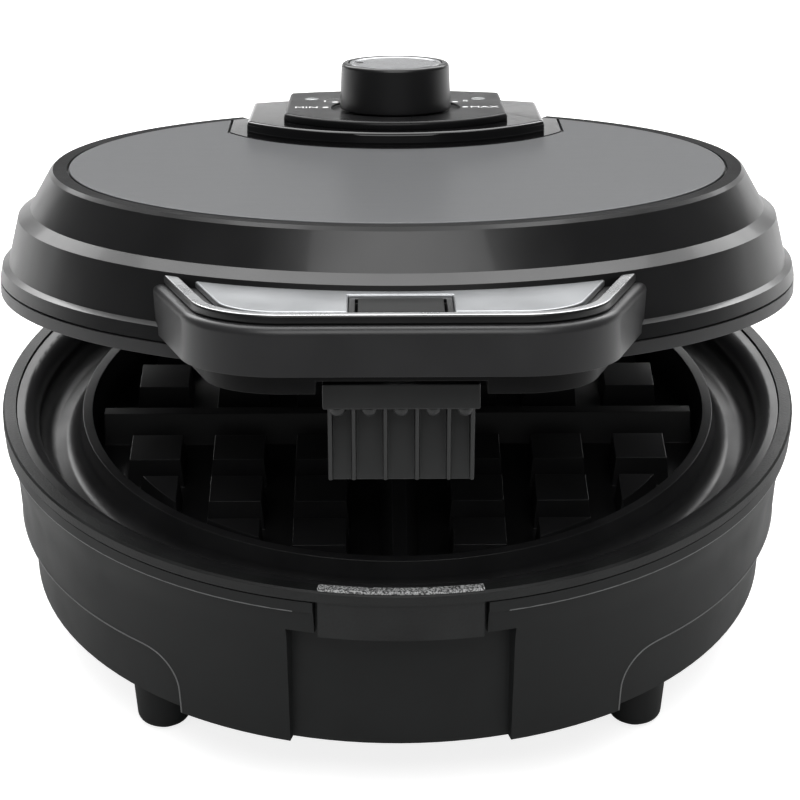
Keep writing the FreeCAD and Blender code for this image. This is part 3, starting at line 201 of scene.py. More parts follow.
@dataclass(frozen=True)
class Finish:
    """One real surface: its colour, gloss and the relief its making left."""

    name: str
    slot: str
    colour: str
    roughness: float
    pattern: Pattern
    feature: float
    relief: float
    tone: float = 0.10
    swing: float = 0.05
    metallic: float = 0.0
    ior: float = 1.5
    specular: float = 0.5
    coat: float = 0.0
    transmission: float = 0.0
    fleck: str = "#000000"
    centre: Point = (0.0, 0.0, 0.0)

    def material(self) -> bpy.types.Material:
        """Give the material of this finish, made on its first use.

        Returns:
            The material, with its pattern on Object coordinates.
        """
        found = bpy.data.materials.get(self.name)
        if found:
            return found
        made = bpy.data.materials.new(self.name)
        tree = bare_tree(made)
        height, shade = self.pattern_sockets(tree)
        ramp = add_node(tree, "ShaderNodeValToRGB", {"Fac": shade})
        first, last = ramp.color_ramp.elements[:]
        first.color, last.color = self.tones()
        if self.pattern is Pattern.FLECK:
            first.position, last.position = FLECK_EDGES
        rough = add_node(tree, "ShaderNodeMapRange", {
            "Value": shade, "To Min": max(self.roughness - self.swing, LEAST_ROUGHNESS),
            "To Max": min(self.roughness + self.swing, 1.0)})
        bump = add_node(tree, "ShaderNodeBump", {
            "Height": height, "Strength": 1.0, "Distance": self.relief * MM})
        shader = add_node(tree, "ShaderNodeBsdfPrincipled", {
            "Base Color": ramp.outputs["Color"], "Roughness": rough.outputs["Result"],
            "Normal": bump.outputs["Normal"], "Metallic": self.metallic, "IOR": self.ior,
            "Specular IOR Level": self.specular, "Coat Weight": self.coat, "Coat Roughness": COAT_ROUGHNESS,
            "Transmission Weight": self.transmission})
        add_node(tree, "ShaderNodeOutputMaterial", {"Surface": shader.outputs["BSDF"]})
        return made

    def tones(self) -> tuple[Colour, Colour]:
        """Work out the two ends of the colour's play.

        Returns:
            The dark end and the light end.
        """
        base = linear(self.colour)
        if self.pattern is Pattern.FLECK:
            return linear(self.fleck), base
        return (tuple(c * (1.0 - self.tone) for c in base[:3]) + (1.0,),
                tuple(c * (1.0 + self.tone) for c in base[:3]) + (1.0,))

    def pattern_sockets(self, tree: bpy.types.NodeTree) -> tuple[bpy.types.NodeSocket, bpy.types.NodeSocket]:
        """Build the pattern's nodes.

        Args:
            tree: The material's tree.

        Returns:
            The socket that drives the relief and the one that drives colour and gloss.
        """
        place = add_node(tree, "ShaderNodeTexCoord").outputs["Object"]
        per_metre = 1.0 / (self.feature * MM)
        if self.pattern is Pattern.SPUN:
            turned = add_node(tree, "ShaderNodeMapping", {
                "Vector": place, "Location": LID_POSE @ (Vector(self.centre) * MM),
                "Rotation": (LID_TILT, 0.0, 0.0)}, vector_type="TEXTURE")
            rings = add_node(tree, "ShaderNodeTexWave", {
                "Vector": turned.outputs["Vector"], "Scale": 2.0 * math.pi * per_metre / WAVE_FACTOR,
                "Distortion": RING_WOBBLE, "Detail": 1.0}, wave_type="RINGS", rings_direction="Z")
            return rings.outputs["Fac"], rings.outputs["Fac"]
        if self.pattern is Pattern.BRUSHED:
            place = add_node(tree, "ShaderNodeMapping", {
                "Vector": place, "Scale": BRUSH_STRETCH}).outputs["Vector"]
        grain = add_node(tree, "ShaderNodeTexNoise", {
            "Vector": place, "Scale": per_metre, "Detail": NOISE_DETAIL.get(self.pattern, FINE_DETAIL),
            "Roughness": NOISE_ROUGHNESS}).outputs["Fac"]
        if self.pattern in (Pattern.FLECK, Pattern.BRUSHED):
            return grain, grain
        cloud = add_node(tree, "ShaderNodeTexNoise", {
            "Vector": place, "Scale": 1.0 / (CLOUD * MM), "Detail": CLOUD_DETAIL}).outputs["Fac"]
        level = add_node(tree, "ShaderNodeMapRange", {
            "Value": combine(tree, "MULTIPLY_ADD", grain, cloud, cloud),
            "From Min": CLOUD_RANGE[0], "From Max": CLOUD_RANGE[1]})
        return grain, level.outputs["Result"]


class Palette:
    """All finishes of the waffle maker."""

    # moulded polypropylene with a fine eroded grain: charcoal, even and nearly matt
    tub = Finish("polypropylene_charcoal_grained", "base_plastic", "#242525", 0.47, Pattern.GRAIN, 0.45,
                 0.012, specular=0.20)
    # the same plastic in a fine bead, painted light grey as a painted highlight line along the scoop and
    # collar edges
    bead = Finish("polypropylene_bead_painted_highlight", "base_plastic", "#6a6b6b", 0.36, Pattern.GRAIN, 0.3, 0.002)
    # sand-textured ABS: a dark band with a dry sparkle
    rim = Finish("abs_sand_textured", "rim_plastic", "#1c1d1d", 0.50, Pattern.SAND, 0.7, 0.10, tone=0.45,
                 specular=0.38)
    # flecked silicone seal: pale grey with dark pits, drawn at 0.55 mm so that they show
    seal = Finish("silicone_flecked_grey", "catch_grey", "#c4c5c5", 0.62, Pattern.FLECK, 0.55, 0.05,
                  fleck="#303030")
    # fluoropolymer coat on cast aluminium: deep black with a soft wide gloss and faint casting waves
    nonstick = Finish("nonstick_on_cast_aluminium", "nonstick", "#222223", 0.36, Pattern.PEEL, 2.2, 0.010,
                      tone=0.2)
    # satin ABS: black with a smooth, slightly waxy gloss
    shell = Finish("abs_black_satin", "black_plastic", "#111112", 0.33, Pattern.GRAIN, 0.35, 0.003,
                   swing=0.03, coat=0.15)
    # the same ABS with a dry eroded grain, as on the ring round the top plate
    ring = Finish("abs_black_grained", "black_plastic", "#101011", 0.60, Pattern.SAND, 0.6, 0.05,
                  specular=0.06)
    # the handle's ABS, a shade lighter and softer to the hand
    grip = Finish("abs_grip_satin", "black_plastic", "#262627", 0.36, Pattern.GRAIN, 0.35, 0.004, swing=0.04)
    # the same ABS under the handle, painted near black as painted shade and left dull
    shade = Finish("abs_black_painted_shade", "black_plastic", "#0c0c0d", 0.55, Pattern.GRAIN, 0.5, 0.006,
                   specular=0.22)
    # dark painted sheet: a smooth satin grey with a trace of rolling lines
    deck = Finish("steel_sheet_satin_grey", "lid_plate_metal", "#545557", 0.40, Pattern.BRUSHED, 0.5, 0.002,
                  metallic=0.65, swing=0.03, tone=0.05)
    # polished ABS: piano black that mirrors the room
    piano = Finish("abs_piano_black", "gloss_black", "#0a0a0b", 0.10, Pattern.PEEL, 3.0, 0.002, specular=0.4)
    # printed panel film: black with a low sheen
    panel = Finish("polycarbonate_panel_matt", "gloss_black", "#101011", 0.30, Pattern.GRAIN, 0.3, 0.002,
                   specular=0.16)
    # satin-sprayed ABS in silver grey: metal flake under a soft clear coat
    silver = Finish("abs_satin_silver_paint", "satin_silver", "#a4a6a8", 0.38, Pattern.GRAIN, 0.25, 0.002,
                    metallic=0.8, tone=0.05, swing=0.03)
    # the same paint on the top edge of the handle's frame, polished and painted brighter as a painted
    # highlight: a clean light line
    trim_highlight = Finish("abs_silver_edge_painted_highlight", "satin_silver", "#d2d3d4", 0.28, Pattern.PEEL, 2.5, 0.0005,
                  metallic=0.85, tone=0.04, swing=0.03)
    # turned aluminium: fine rings that fan the light out, drawn 0.5 mm apart so that they show
    spun = Finish("aluminium_spun", "cap_metal", "#a8a9ab", 0.26, Pattern.SPUN, 0.5, 0.004, metallic=1.0,
                  tone=0.04, centre=(0.0, 66.0, 133.0))
    # glass-filled nylon: dark grey, tough and slightly rough
    nylon = Finish("nylon_glass_filled_grey", "latch_grey", "#272828", 0.42, Pattern.GRAIN, 0.5, 0.008,
                   tone=0.15)
    # tab of the release: ABS a shade darker than the handle, and dry
    tab = Finish("abs_release_tab", "latch_grey", "#151616", 0.50, Pattern.GRAIN, 0.35, 0.005, specular=0.12)
    # moulded rubber: dull and dense
    rubber = Finish("rubber_moulded", "foot_rubber", "#1a1a1a", 0.78, Pattern.GRAIN, 0.6, 0.02, specular=0.3)
    # clear polycarbonate light pipe with a smoky tint
    lens = Finish("polycarbonate_lens", "lens_clear", "#b8bcbc", 0.12, Pattern.PEEL, 2.0, 0.001, ior=1.58,
                  transmission=0.6)
    # zinc-plated steel: pale, slightly bluish, with drawing lines
    steel = Finish("steel_zinc_plated", "screw_steel", "#a9abae", 0.30, Pattern.BRUSHED, 0.25, 0.002,
                   metallic=1.0)
    # nickel-steel heater tube with a heat-dulled skin
    heater = Finish("heater_tube_steel", "element_steel", "#6e6a64", 0.45, Pattern.GRAIN, 0.5, 0.004,
                    metallic=1.0)
    # aluminised sheet: bright, with soft mottling
    tray = Finish("aluminised_sheet", "tray_metal", "#b4b6b8", 0.34, Pattern.PEEL, 4.0, 0.006, metallic=1.0)
    # glass-epoxy board under green lacquer
    board = Finish("glass_epoxy_green", "board_green", "#1d5a36", 0.38, Pattern.GRAIN, 0.4, 0.003)
    # fired steatite: off-white and dry
    ceramic = Finish("steatite_white", "ceramic_white", "#d9d6cd", 0.55, Pattern.GRAIN, 0.4, 0.006, tone=0.05)
    # screen-print ink, nearly white
    ink = Finish("screen_ink_pale", "gloss_black", "#f0f0f0", 0.5, Pattern.GRAIN, 0.2, 0.001, tone=0.04)
    # pad-print ink, near black, for the knob's pointer
    mark = Finish("pad_ink_black", "black_plastic", "#141414", 0.42, Pattern.GRAIN, 0.2, 0.001)


def deselect() -> None:
    """Leave nothing selected."""
    for other in bpy.context.selected_objects:
        other.select_set(False)


def active() -> bpy.types.Object:
    """Give the active object.

    Returns:
        The object that the last operator made or changed.
    """
    return bpy.context.view_layer.objects.active


def solo(piece: bpy.types.Object) -> None:
    """Make one object the only selected and the active one.

    Args:
        piece: The object.
    """
    deselect()
    piece.select_set(True)
    bpy.context.view_layer.objects.active = piece


def begin(operator: Callable[..., Any], name: str, **settings: Any) -> bpy.types.Object:
    """Start a piece from a primitive with nothing else selected.

    Args:
        operator: The operator that adds the primitive.
        name: The piece's name.
        **settings: What the operator is given.

    Returns:
        The new object, in object mode.
    """
    deselect()
    operator(**settings)
    piece = active()
    piece.name = name
    return piece


def duplicate(piece: bpy.types.Object) -> bpy.types.Object:
    """Copy an object with its mesh.

    Args:
        piece: The object to copy.

    Returns:
        The copy.
    """
    solo(piece)
    bpy.ops.object.duplicate()
    return active()


def join(pieces: Sequence[bpy.types.Object], name: str) -> bpy.types.Object:
    """Join objects into the first of them.

    Args:
        pieces: The objects.
        name: The joined piece's name.

    Returns:
        The joined piece.
    """
    solo(pieces[0])
    for piece in pieces:
        piece.select_set(True)
    bpy.ops.object.join()
    whole = active()
    whole.name = name
    return whole


def to_mesh(piece: bpy.types.Object) -> bpy.types.Object:
    """Turn a curve or a text into a mesh.

    Args:
        piece: The curve or text object.

    Returns:
        The mesh object.
    """
    solo(piece)
    bpy.ops.object.convert(target="MESH")
    return active()


def edit(piece: bpy.types.Object, mode: str = "EDGE") -> None:
    """Open a piece in edit mode with nothing selected.

    Args:
        piece: The object.
        mode: What a selection is made of.
    """
    solo(piece)
    bpy.ops.object.mode_set(mode="EDIT")
    bpy.ops.mesh.select_mode(type=mode)
    bpy.ops.mesh.select_all(action="DESELECT")


def close() -> None:
    """Leave edit mode."""
    bpy.ops.object.mode_set(mode="OBJECT")


def pick(piece: bpy.types.Object, kind: str, test: Callable[[Any], bool]) -> int:
    """Select part of a mesh that is open in edit mode.

    Args:
        piece: The object in edit mode.
        kind: "verts", "edges" or "faces".
        test: Says which elements are wanted.

    Returns:
        How many were selected.
    """
    mesh = bmesh.from_edit_mesh(piece.data)
    wanted = [element for element in getattr(mesh, kind) if test(element)]
    for element in wanted:
        element.select_set(True)
    mesh.select_flush_mode()
    bmesh.update_edit_mesh(piece.data)
    return len(wanted)


def level_edges(height: float) -> Callable[[Any], bool]:
    """Make a test for edges that lie level.

    Args:
        height: Their height in millimetres.

    Returns:
        The test.
    """
    return lambda edge: all(abs(vert.co.z / MM - height) < LEVEL_SLACK for vert in edge.verts)


def shape(piece: bpy.types.Object, kind: str, **settings: Any) -> None:
    """Add a modifier with its settings and apply it.

    Args:
        piece: The object to change.
        kind: The modifier's type.
        **settings: The modifier's properties.
    """
    solo(piece)
    modifier = piece.modifiers.new(kind.lower(), kind)
    for name, value in settings.items():
        setattr(modifier, name, value)
    bpy.ops.object.modifier_apply(modifier=modifier.name)


def settle(piece: bpy.types.Object, pose: Matrix | None = None) -> None:
    """Put a piece in its place and write that place into its mesh.

    Args:
        piece: The object to place.
        pose: A move to make first, such as the lid's swing.
    """
    solo(piece)
    bpy.context.view_layer.update()
    if pose is not None:
        piece.matrix_world = pose @ piece.matrix_world
    bpy.ops.object.transform_apply(location=True, rotation=True, scale=True)


def smooth(piece: bpy.types.Object, crease: float = 35.0) -> None:
    """Shade a piece smooth, with wide faces keeping their own normals.

    Args:
        piece: The object.
        crease: Edges sharper than this, in degrees, stay creases.
    """
    solo(piece)
    bpy.ops.object.shade_smooth_by_angle(angle=math.radians(crease))
    shape(piece, "WEIGHTED_NORMAL", keep_sharp=True, weight=50)


def paint(piece: bpy.types.Object, finish: Finish, wanted: Callable[[Any], bool]) -> None:
    """Give some faces of a dressed piece a second finish.

    Args:
        piece: The object, with one material.
        finish: The second surface.
        wanted: Says which faces show it.
    """
    piece.data.materials.append(finish.material())
    for face in piece.data.polygons:
        if wanted(face):
            face.material_index = 1


def lathe(name: str, profile: Sequence[Flat], at: Flat = (0.0, 0.0), steps: int = 96) -> bpy.types.Object:
    """Draw a ring out along a profile, one extrusion to each point, and close both ends.

    Args:
        name: The piece's name.
        profile: Radius and height of each ring, in millimetres.
        at: Where the axis stands.
        steps: Corners of a ring.

    Returns:
        The turned object.
    """
    radius, height = profile[0]
    piece = begin(bpy.ops.mesh.primitive_circle_add, name, vertices=steps, radius=radius * MM,
                  fill_type="NGON", location=(0.0, 0.0, height * MM))
    settle(piece)
    edit(piece)
    bpy.ops.mesh.select_all(action="SELECT")
    for next_radius, next_height in profile[1:]:
        bpy.ops.mesh.extrude_region_move(
            TRANSFORM_OT_translate={"value": (0.0, 0.0, (next_height - height) * MM)})
        scale = next_radius / radius
        bpy.ops.transform.resize(value=(scale, scale, 1.0), center_override=(0.0, 0.0, next_height * MM))
        radius, height = next_radius, next_height
    bpy.ops.mesh.select_all(action="SELECT")
    bpy.ops.mesh.normals_make_consistent(inside=False)
    close()
    piece.location = (at[0] * MM, at[1] * MM, 0.0)
    return piece


def stamp(first: bpy.types.Object, name: str, places: Iterable[Point]) -> bpy.types.Object:
    """Copy a modelled shape to each place and join the copies into one piece.

    Args:
        first: The shape, with its turn set. It is used up.
        name: The piece's name.
        places: Where the copies stand, in millimetres.

    Returns:
        The joined piece, not yet settled.
    """
    made = []
    for place in places:
        copy = duplicate(first)
        copy.location = Vector(place) * MM
        made.append(copy)
    bpy.data.objects.remove(first)
    return join(made, name)


def trace(name: str, points: Iterable[Point], radius: float) -> bpy.types.Object:
    """Draw a fine round bead along a smooth line.

    Args:
        name: The piece's name.
        points: The line's points: azimuth in degrees, radius and height in millimetres.
        radius: The bead's radius in millimetres.

    Returns:
        The bead as a settled mesh.
    """
    line = list(points)
    bead = begin(bpy.ops.curve.primitive_nurbs_path_add, name)
    bead.data.splines.clear()
    spline = bead.data.splines.new("NURBS")
    spline.points.add(len(line) - 1)
    for point, (azimuth, out, height) in zip(spline.points, line):
        turn = math.radians(azimuth)
        point.co = (out * math.cos(turn) * MM, out * math.sin(turn) * MM, height * MM, 1.0)
    spline.order_u = 3
    spline.use_endpoint_u = True
    spline.resolution_u = 4
    bead.data.bevel_depth = radius * MM
    bead.data.bevel_resolution = 2
    bead.data.use_fill_caps = True
    bead = to_mesh(bead)
    settle(bead)
    smooth(bead, crease=60.0)
    return bead


@dataclass
class Screw:
    """Pan-head screw with a cross recess, built once for each row of them."""

    shank: float = 1.6
    head: float = 3.4
    tall: float = 2.2
    # the head's outline from its seat up, as shares of its radius and height
    dome: tuple[Flat, ...] = ((1.0, 0.0), (1.0, 0.5), (0.92, 0.77), (0.72, 0.94), (0.5, 1.0))
    slot_long: float = 3.8
    slot_wide: float = 0.9
    slot_deep: float = 1.2
    steps: int = 32

    def build(self, long: float, lean: float) -> bpy.types.Object:
        """Turn the screw on its seat and cut the cross.

        Args:
            long: Length of the shank in millimetres.
            lean: Turn about X in degrees, which points the head where it faces.

        Returns:
            The screw at the origin.
        """
        profile = [(self.shank, -long), (self.shank, 0.0)]
        profile += [(wide * self.head, rise * self.tall) for wide, rise in self.dome]
        screw = lathe("screw", profile, steps=self.steps)
        for turn in (0.0, 90.0):
            blade = begin(bpy.ops.mesh.primitive_cube_add, "screw_blade", size=1.0,
                          location=(0.0, 0.0, self.tall * MM), rotation=(0.0, 0.0, math.radians(turn)))
            blade.scale = Vector((self.slot_long, self.slot_wide, 2.0 * self.slot_deep)) * MM
            settle(blade)
            shape(screw, "BOOLEAN", object=blade, operation="DIFFERENCE", solver="EXACT")
            bpy.data.objects.remove(blade)
        screw.rotation_euler.x = math.radians(lean)
        return screw


@dataclass
class Assembly:
    """What every sub-assembly shares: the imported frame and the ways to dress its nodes."""

    frame: dict[str, Any]

    def dress(self, finish: Finish, *nodes: str) -> None:
        """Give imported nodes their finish.

        Args:
            finish: The surface to show.
            *nodes: Names of the nodes.
        """
        for name in nodes:
            mesh = self.frame["nodes"][name].data
            mesh.materials.clear()
            mesh.materials.append(finish.material())
            log.info("dressed %s in %s", name, finish.name)

    def place(self, piece: bpy.types.Object, finish: Finish, body: Body,
              *stands_for: str) -> bpy.types.Object:
        """Finish a new piece: material, body and the nodes it stands for.

        Args:
            piece: The object, in its place.
            finish: The surface to show.
            body: What it moves with.
            *stands_for: Nodes that it replaces.

        Returns:
            The piece.
        """
        piece.data.materials.clear()
        piece.data.materials.append(finish.material())
        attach(piece, body.value)
        if stands_for:
            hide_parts(*stands_for)
        log.info("piece %s on %s", piece.name, body.value)
        return piece

    def screws(self, node: str, body: Body, long: float, lean: float, seats: Iterable[Point],
               pose: Matrix | None = None) -> None:
        """Stand cross-recess screws where a node has plain ones.

        Args:
            node: The node they stand for.
            body: What they move with.
            long: Length of their shanks in millimetres.
            lean: Turn about X that points the heads outwards.
            seats: Where the heads sit.
            pose: A move to make at the end, such as the lid's swing.
        """
        row = stamp(Screw().build(long, lean), f"{node}_crossed", seats)
        settle(row, pose)
        smooth(row, crease=30.0)
        self.place(row, Palette.steel, body, node)

    def soften(self, node: str, finish: Finish, body: Body, width: float, segments: int = 3,
               angle: float = 40.0, crease: float = 35.0, rolled: Callable[[Any], bool] | None = None,
               roll: float = 0.0) -> bpy.types.Object:
        """Make a moulded copy of a node with its sharp edges broken.

        Args:
            node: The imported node.
            finish: The surface to show.
            body: What it moves with.
            width: Width of the broken edges, in millimetres.
            segments: Steps across an edge.
            angle: Edges sharper than this are broken.
            crease: Edges sharper than this shade as creases.
            rolled: Says which edges are rolled over first.
            roll: How far they are rolled over, in millimetres.

        Returns:
            The new piece, which stands for the node.
        """
        piece = bpy.data.objects.new(f"{node}_moulded", self.frame["nodes"][node].data.copy())
        bpy.context.scene.collection.objects.link(piece)
        solo(piece)
        bpy.ops.mesh.customdata_custom_splitnormals_clear()
        edit(piece, "VERT")
        bpy.ops.mesh.select_all(action="SELECT")
        bpy.ops.mesh.remove_doubles(threshold=MERGE * MM)
        bpy.ops.mesh.dissolve_limited(angle_limit=math.radians(FLATNESS))
        if rolled is not None:
            bpy.ops.mesh.select_mode(type="EDGE")
            bpy.ops.mesh.select_all(action="DESELECT")
            log.info("%s: %d edges rolled over", node, pick(piece, "edges", rolled))
            bpy.ops.mesh.bevel(offset=roll * MM, segments=ROLL_STEPS)
        close()
        shape(piece, "BEVEL", width=width * MM, segments=segments, limit_method="ANGLE",
              angle_limit=math.radians(angle), use_clamp_overlap=True)
        smooth(piece, crease)
        return self.place(piece, finish, body, node)

    def soften_all(self, body: Body, rows: Iterable[tuple[str, Finish, float]]) -> None:
        """Make moulded copies of several nodes on one body.

        Args:
            body: What they move with.
            rows: Each node with its surface and the width of its broken edges in millimetres.
        """
        for node, finish, width in rows:
            self.soften(node, finish, body, width)


@dataclass
class Tub(Assembly):
    """The base: housing, textured rim, catch seal, bottom cover, feet and the mains gland."""

    moulded: tuple[tuple[str, Finish, float], ...] = (
        ("base_housing", Palette.tub, 0.7),
        ("base_rim", Palette.rim, 0.35),
        ("catch_strip", Palette.seal, 0.25),
        ("bottom_cover", Palette.tub, 0.4),
        ("feet", Palette.tub, 0.8),
        ("foot_pads", Palette.rubber, 0.5),
        ("cord_gland", Palette.rubber, 0.5),
    )
    low: float = 20.0
    low_radius: float = 114.8
    waist: float = 55.0
    waist_radius: float = 116.6
    scoop_top: float = 39.5
    scoop_span: float = 114.0
    scoop_corner: float = 12.0
    corner_steps: int = 5
    bead_lift: float = 0.3
    bead_radius: float = 0.24
    bead_steps: int = 16
    collar_low: float = 66.6
    collar_radius: float = 119.45
    collar_gap: float = 14.4
    collar_steps: int = 110
    screw_ring: float = 104.6
    screw_long: float = 5.2

    def build(self) -> None:
        """Build and dress the base."""
        self.soften_all(Body.BASE, self.moulded)
        self.dress(Palette.nylon, "cord_gland_nut")
        ring = self.screw_ring
        self.screws("bottom_cover_screws", Body.BASE, self.screw_long, 180.0, (
            (ring, 0.0, self.low), (0.0, ring, self.low), (-ring, 0.0, self.low), (0.0, -ring, self.low)))
        self.beads()

    def wall(self, height: float) -> float:
        """Work out how wide the tub is at a height.

        Args:
            height: The height in millimetres.

        Returns:
            The outer radius in millimetres.
        """
        rise = (height - self.low) / (self.waist - self.low)
        return self.low_radius + (self.waist_radius - self.low_radius) * rise

    def scoop_line(self) -> list[Flat]:
        """Follow a side scoop's edge up, round, across and down again.

        Returns:
            Azimuth from the scoop's middle in degrees, and height in millimetres.
        """
        corner = math.degrees(self.scoop_corner / self.wall(self.scoop_top))
        reach = self.scoop_span / 2.0
        run = reach - corner
        line = [(-reach, self.low + self.bead_lift), (-reach, self.scoop_top - self.scoop_corner)]
        for step in range(1, self.corner_steps + 1):
            turn = math.radians(90.0 * step / self.corner_steps)
            line.append((-reach + corner * (1.0 - math.cos(turn)),
                         self.scoop_top - self.scoop_corner * (1.0 - math.sin(turn))))
        line += [(-run + run * step / self.bead_steps, self.scoop_top) for step in range(1, self.bead_steps)]
        return line + [(-azimuth, height) for azimuth, height in reversed(line)]

    def beads(self) -> None:
        """Run a fine bead along each side scoop and one under the collar, painted light grey as a painted
        highlight line.
        """
        line = self.scoop_line()
        traces = {name: [(side + azimuth, self.wall(height), height) for azimuth, height in line]
                  for name, side in (("scoop_bead_left", 180.0), ("scoop_bead_right", 0.0))}
        span = 360.0 - 2.0 * self.collar_gap
        traces["collar_bead"] = [
            (FRONT + self.collar_gap + span * step / self.collar_steps, self.collar_radius, self.collar_low)
            for step in range(self.collar_steps + 1)]
        for name, points in traces.items():
            # each bead wears the painted highlight finish
            self.place(trace(name, points, self.bead_radius), Palette.bead, Body.BASE)


@dataclass
class WafflePlates(Assembly):
    """The two coated plates with the heaters, trays and wiring behind them."""

    post_edge: float = 1.1
    post_steps: int = 4

    def build(self) -> None:
        """Build and dress both plates."""
        for node, body in (("lower_plate", Body.BASE), ("upper_plate", Body.LID)):
            self.soften(node, Palette.nonstick, body, self.post_edge, segments=self.post_steps)
        self.dress(Palette.heater, "lower_heating_element", "upper_heating_element")
        self.dress(Palette.tray, "lower_reflector", "upper_reflector")
        self.dress(Palette.steel, "lower_plate_screws", "upper_plate_screws")
        self.dress(Palette.ceramic, "thermal_cutout", "terminal_block")


@dataclass
class RearHinge(Assembly):
    """Bracket on the tub, yoke on the lid and the pin through both."""

    edge: float = 1.0
    screw_seat: Point = (20.0, 124.0, 49.2)
    screw_long: float = 12.5

    def build(self) -> None:
        """Build and dress the hinge."""
        self.soften("hinge_bracket", Palette.tub, Body.BASE, self.edge)
        self.soften("hinge_yoke", Palette.shell, Body.LID, self.edge)
        self.dress(Palette.steel, "hinge_pin", "hinge_pin_clips", "hinge_yoke_screws")
        x, y, z = self.screw_seat
        self.screws("hinge_bracket_screws", Body.BASE, self.screw_long, -90.0, ((-x, y, z), (x, y, z)))


@dataclass
class LidShell(Assembly):
    """Stepped lid housing and the satin plate let into its top."""

    edge: float = 0.45
    plate_edge: float = 0.35
    # the ledge between the lid's slopes is shallow, so its edges are caught from here up, in degrees
    ledge_angle: float = 14.0
    ledge_crease: float = 20.0
    ring_low: float = 112.3

    def build(self) -> None:
        """Build and dress the lid, with a dull grain on the flat ring round the top plate."""
        housing = self.soften("lid_housing", Palette.shell, Body.LID, self.edge, segments=2,
                              angle=self.ledge_angle, crease=self.ledge_crease)
        paint(housing, Palette.ring, lambda face: (LID_SHUT @ face.center).z > self.ring_low * MM)
        self.soften("lid_top_plate", Palette.deck, Body.LID, self.plate_edge)


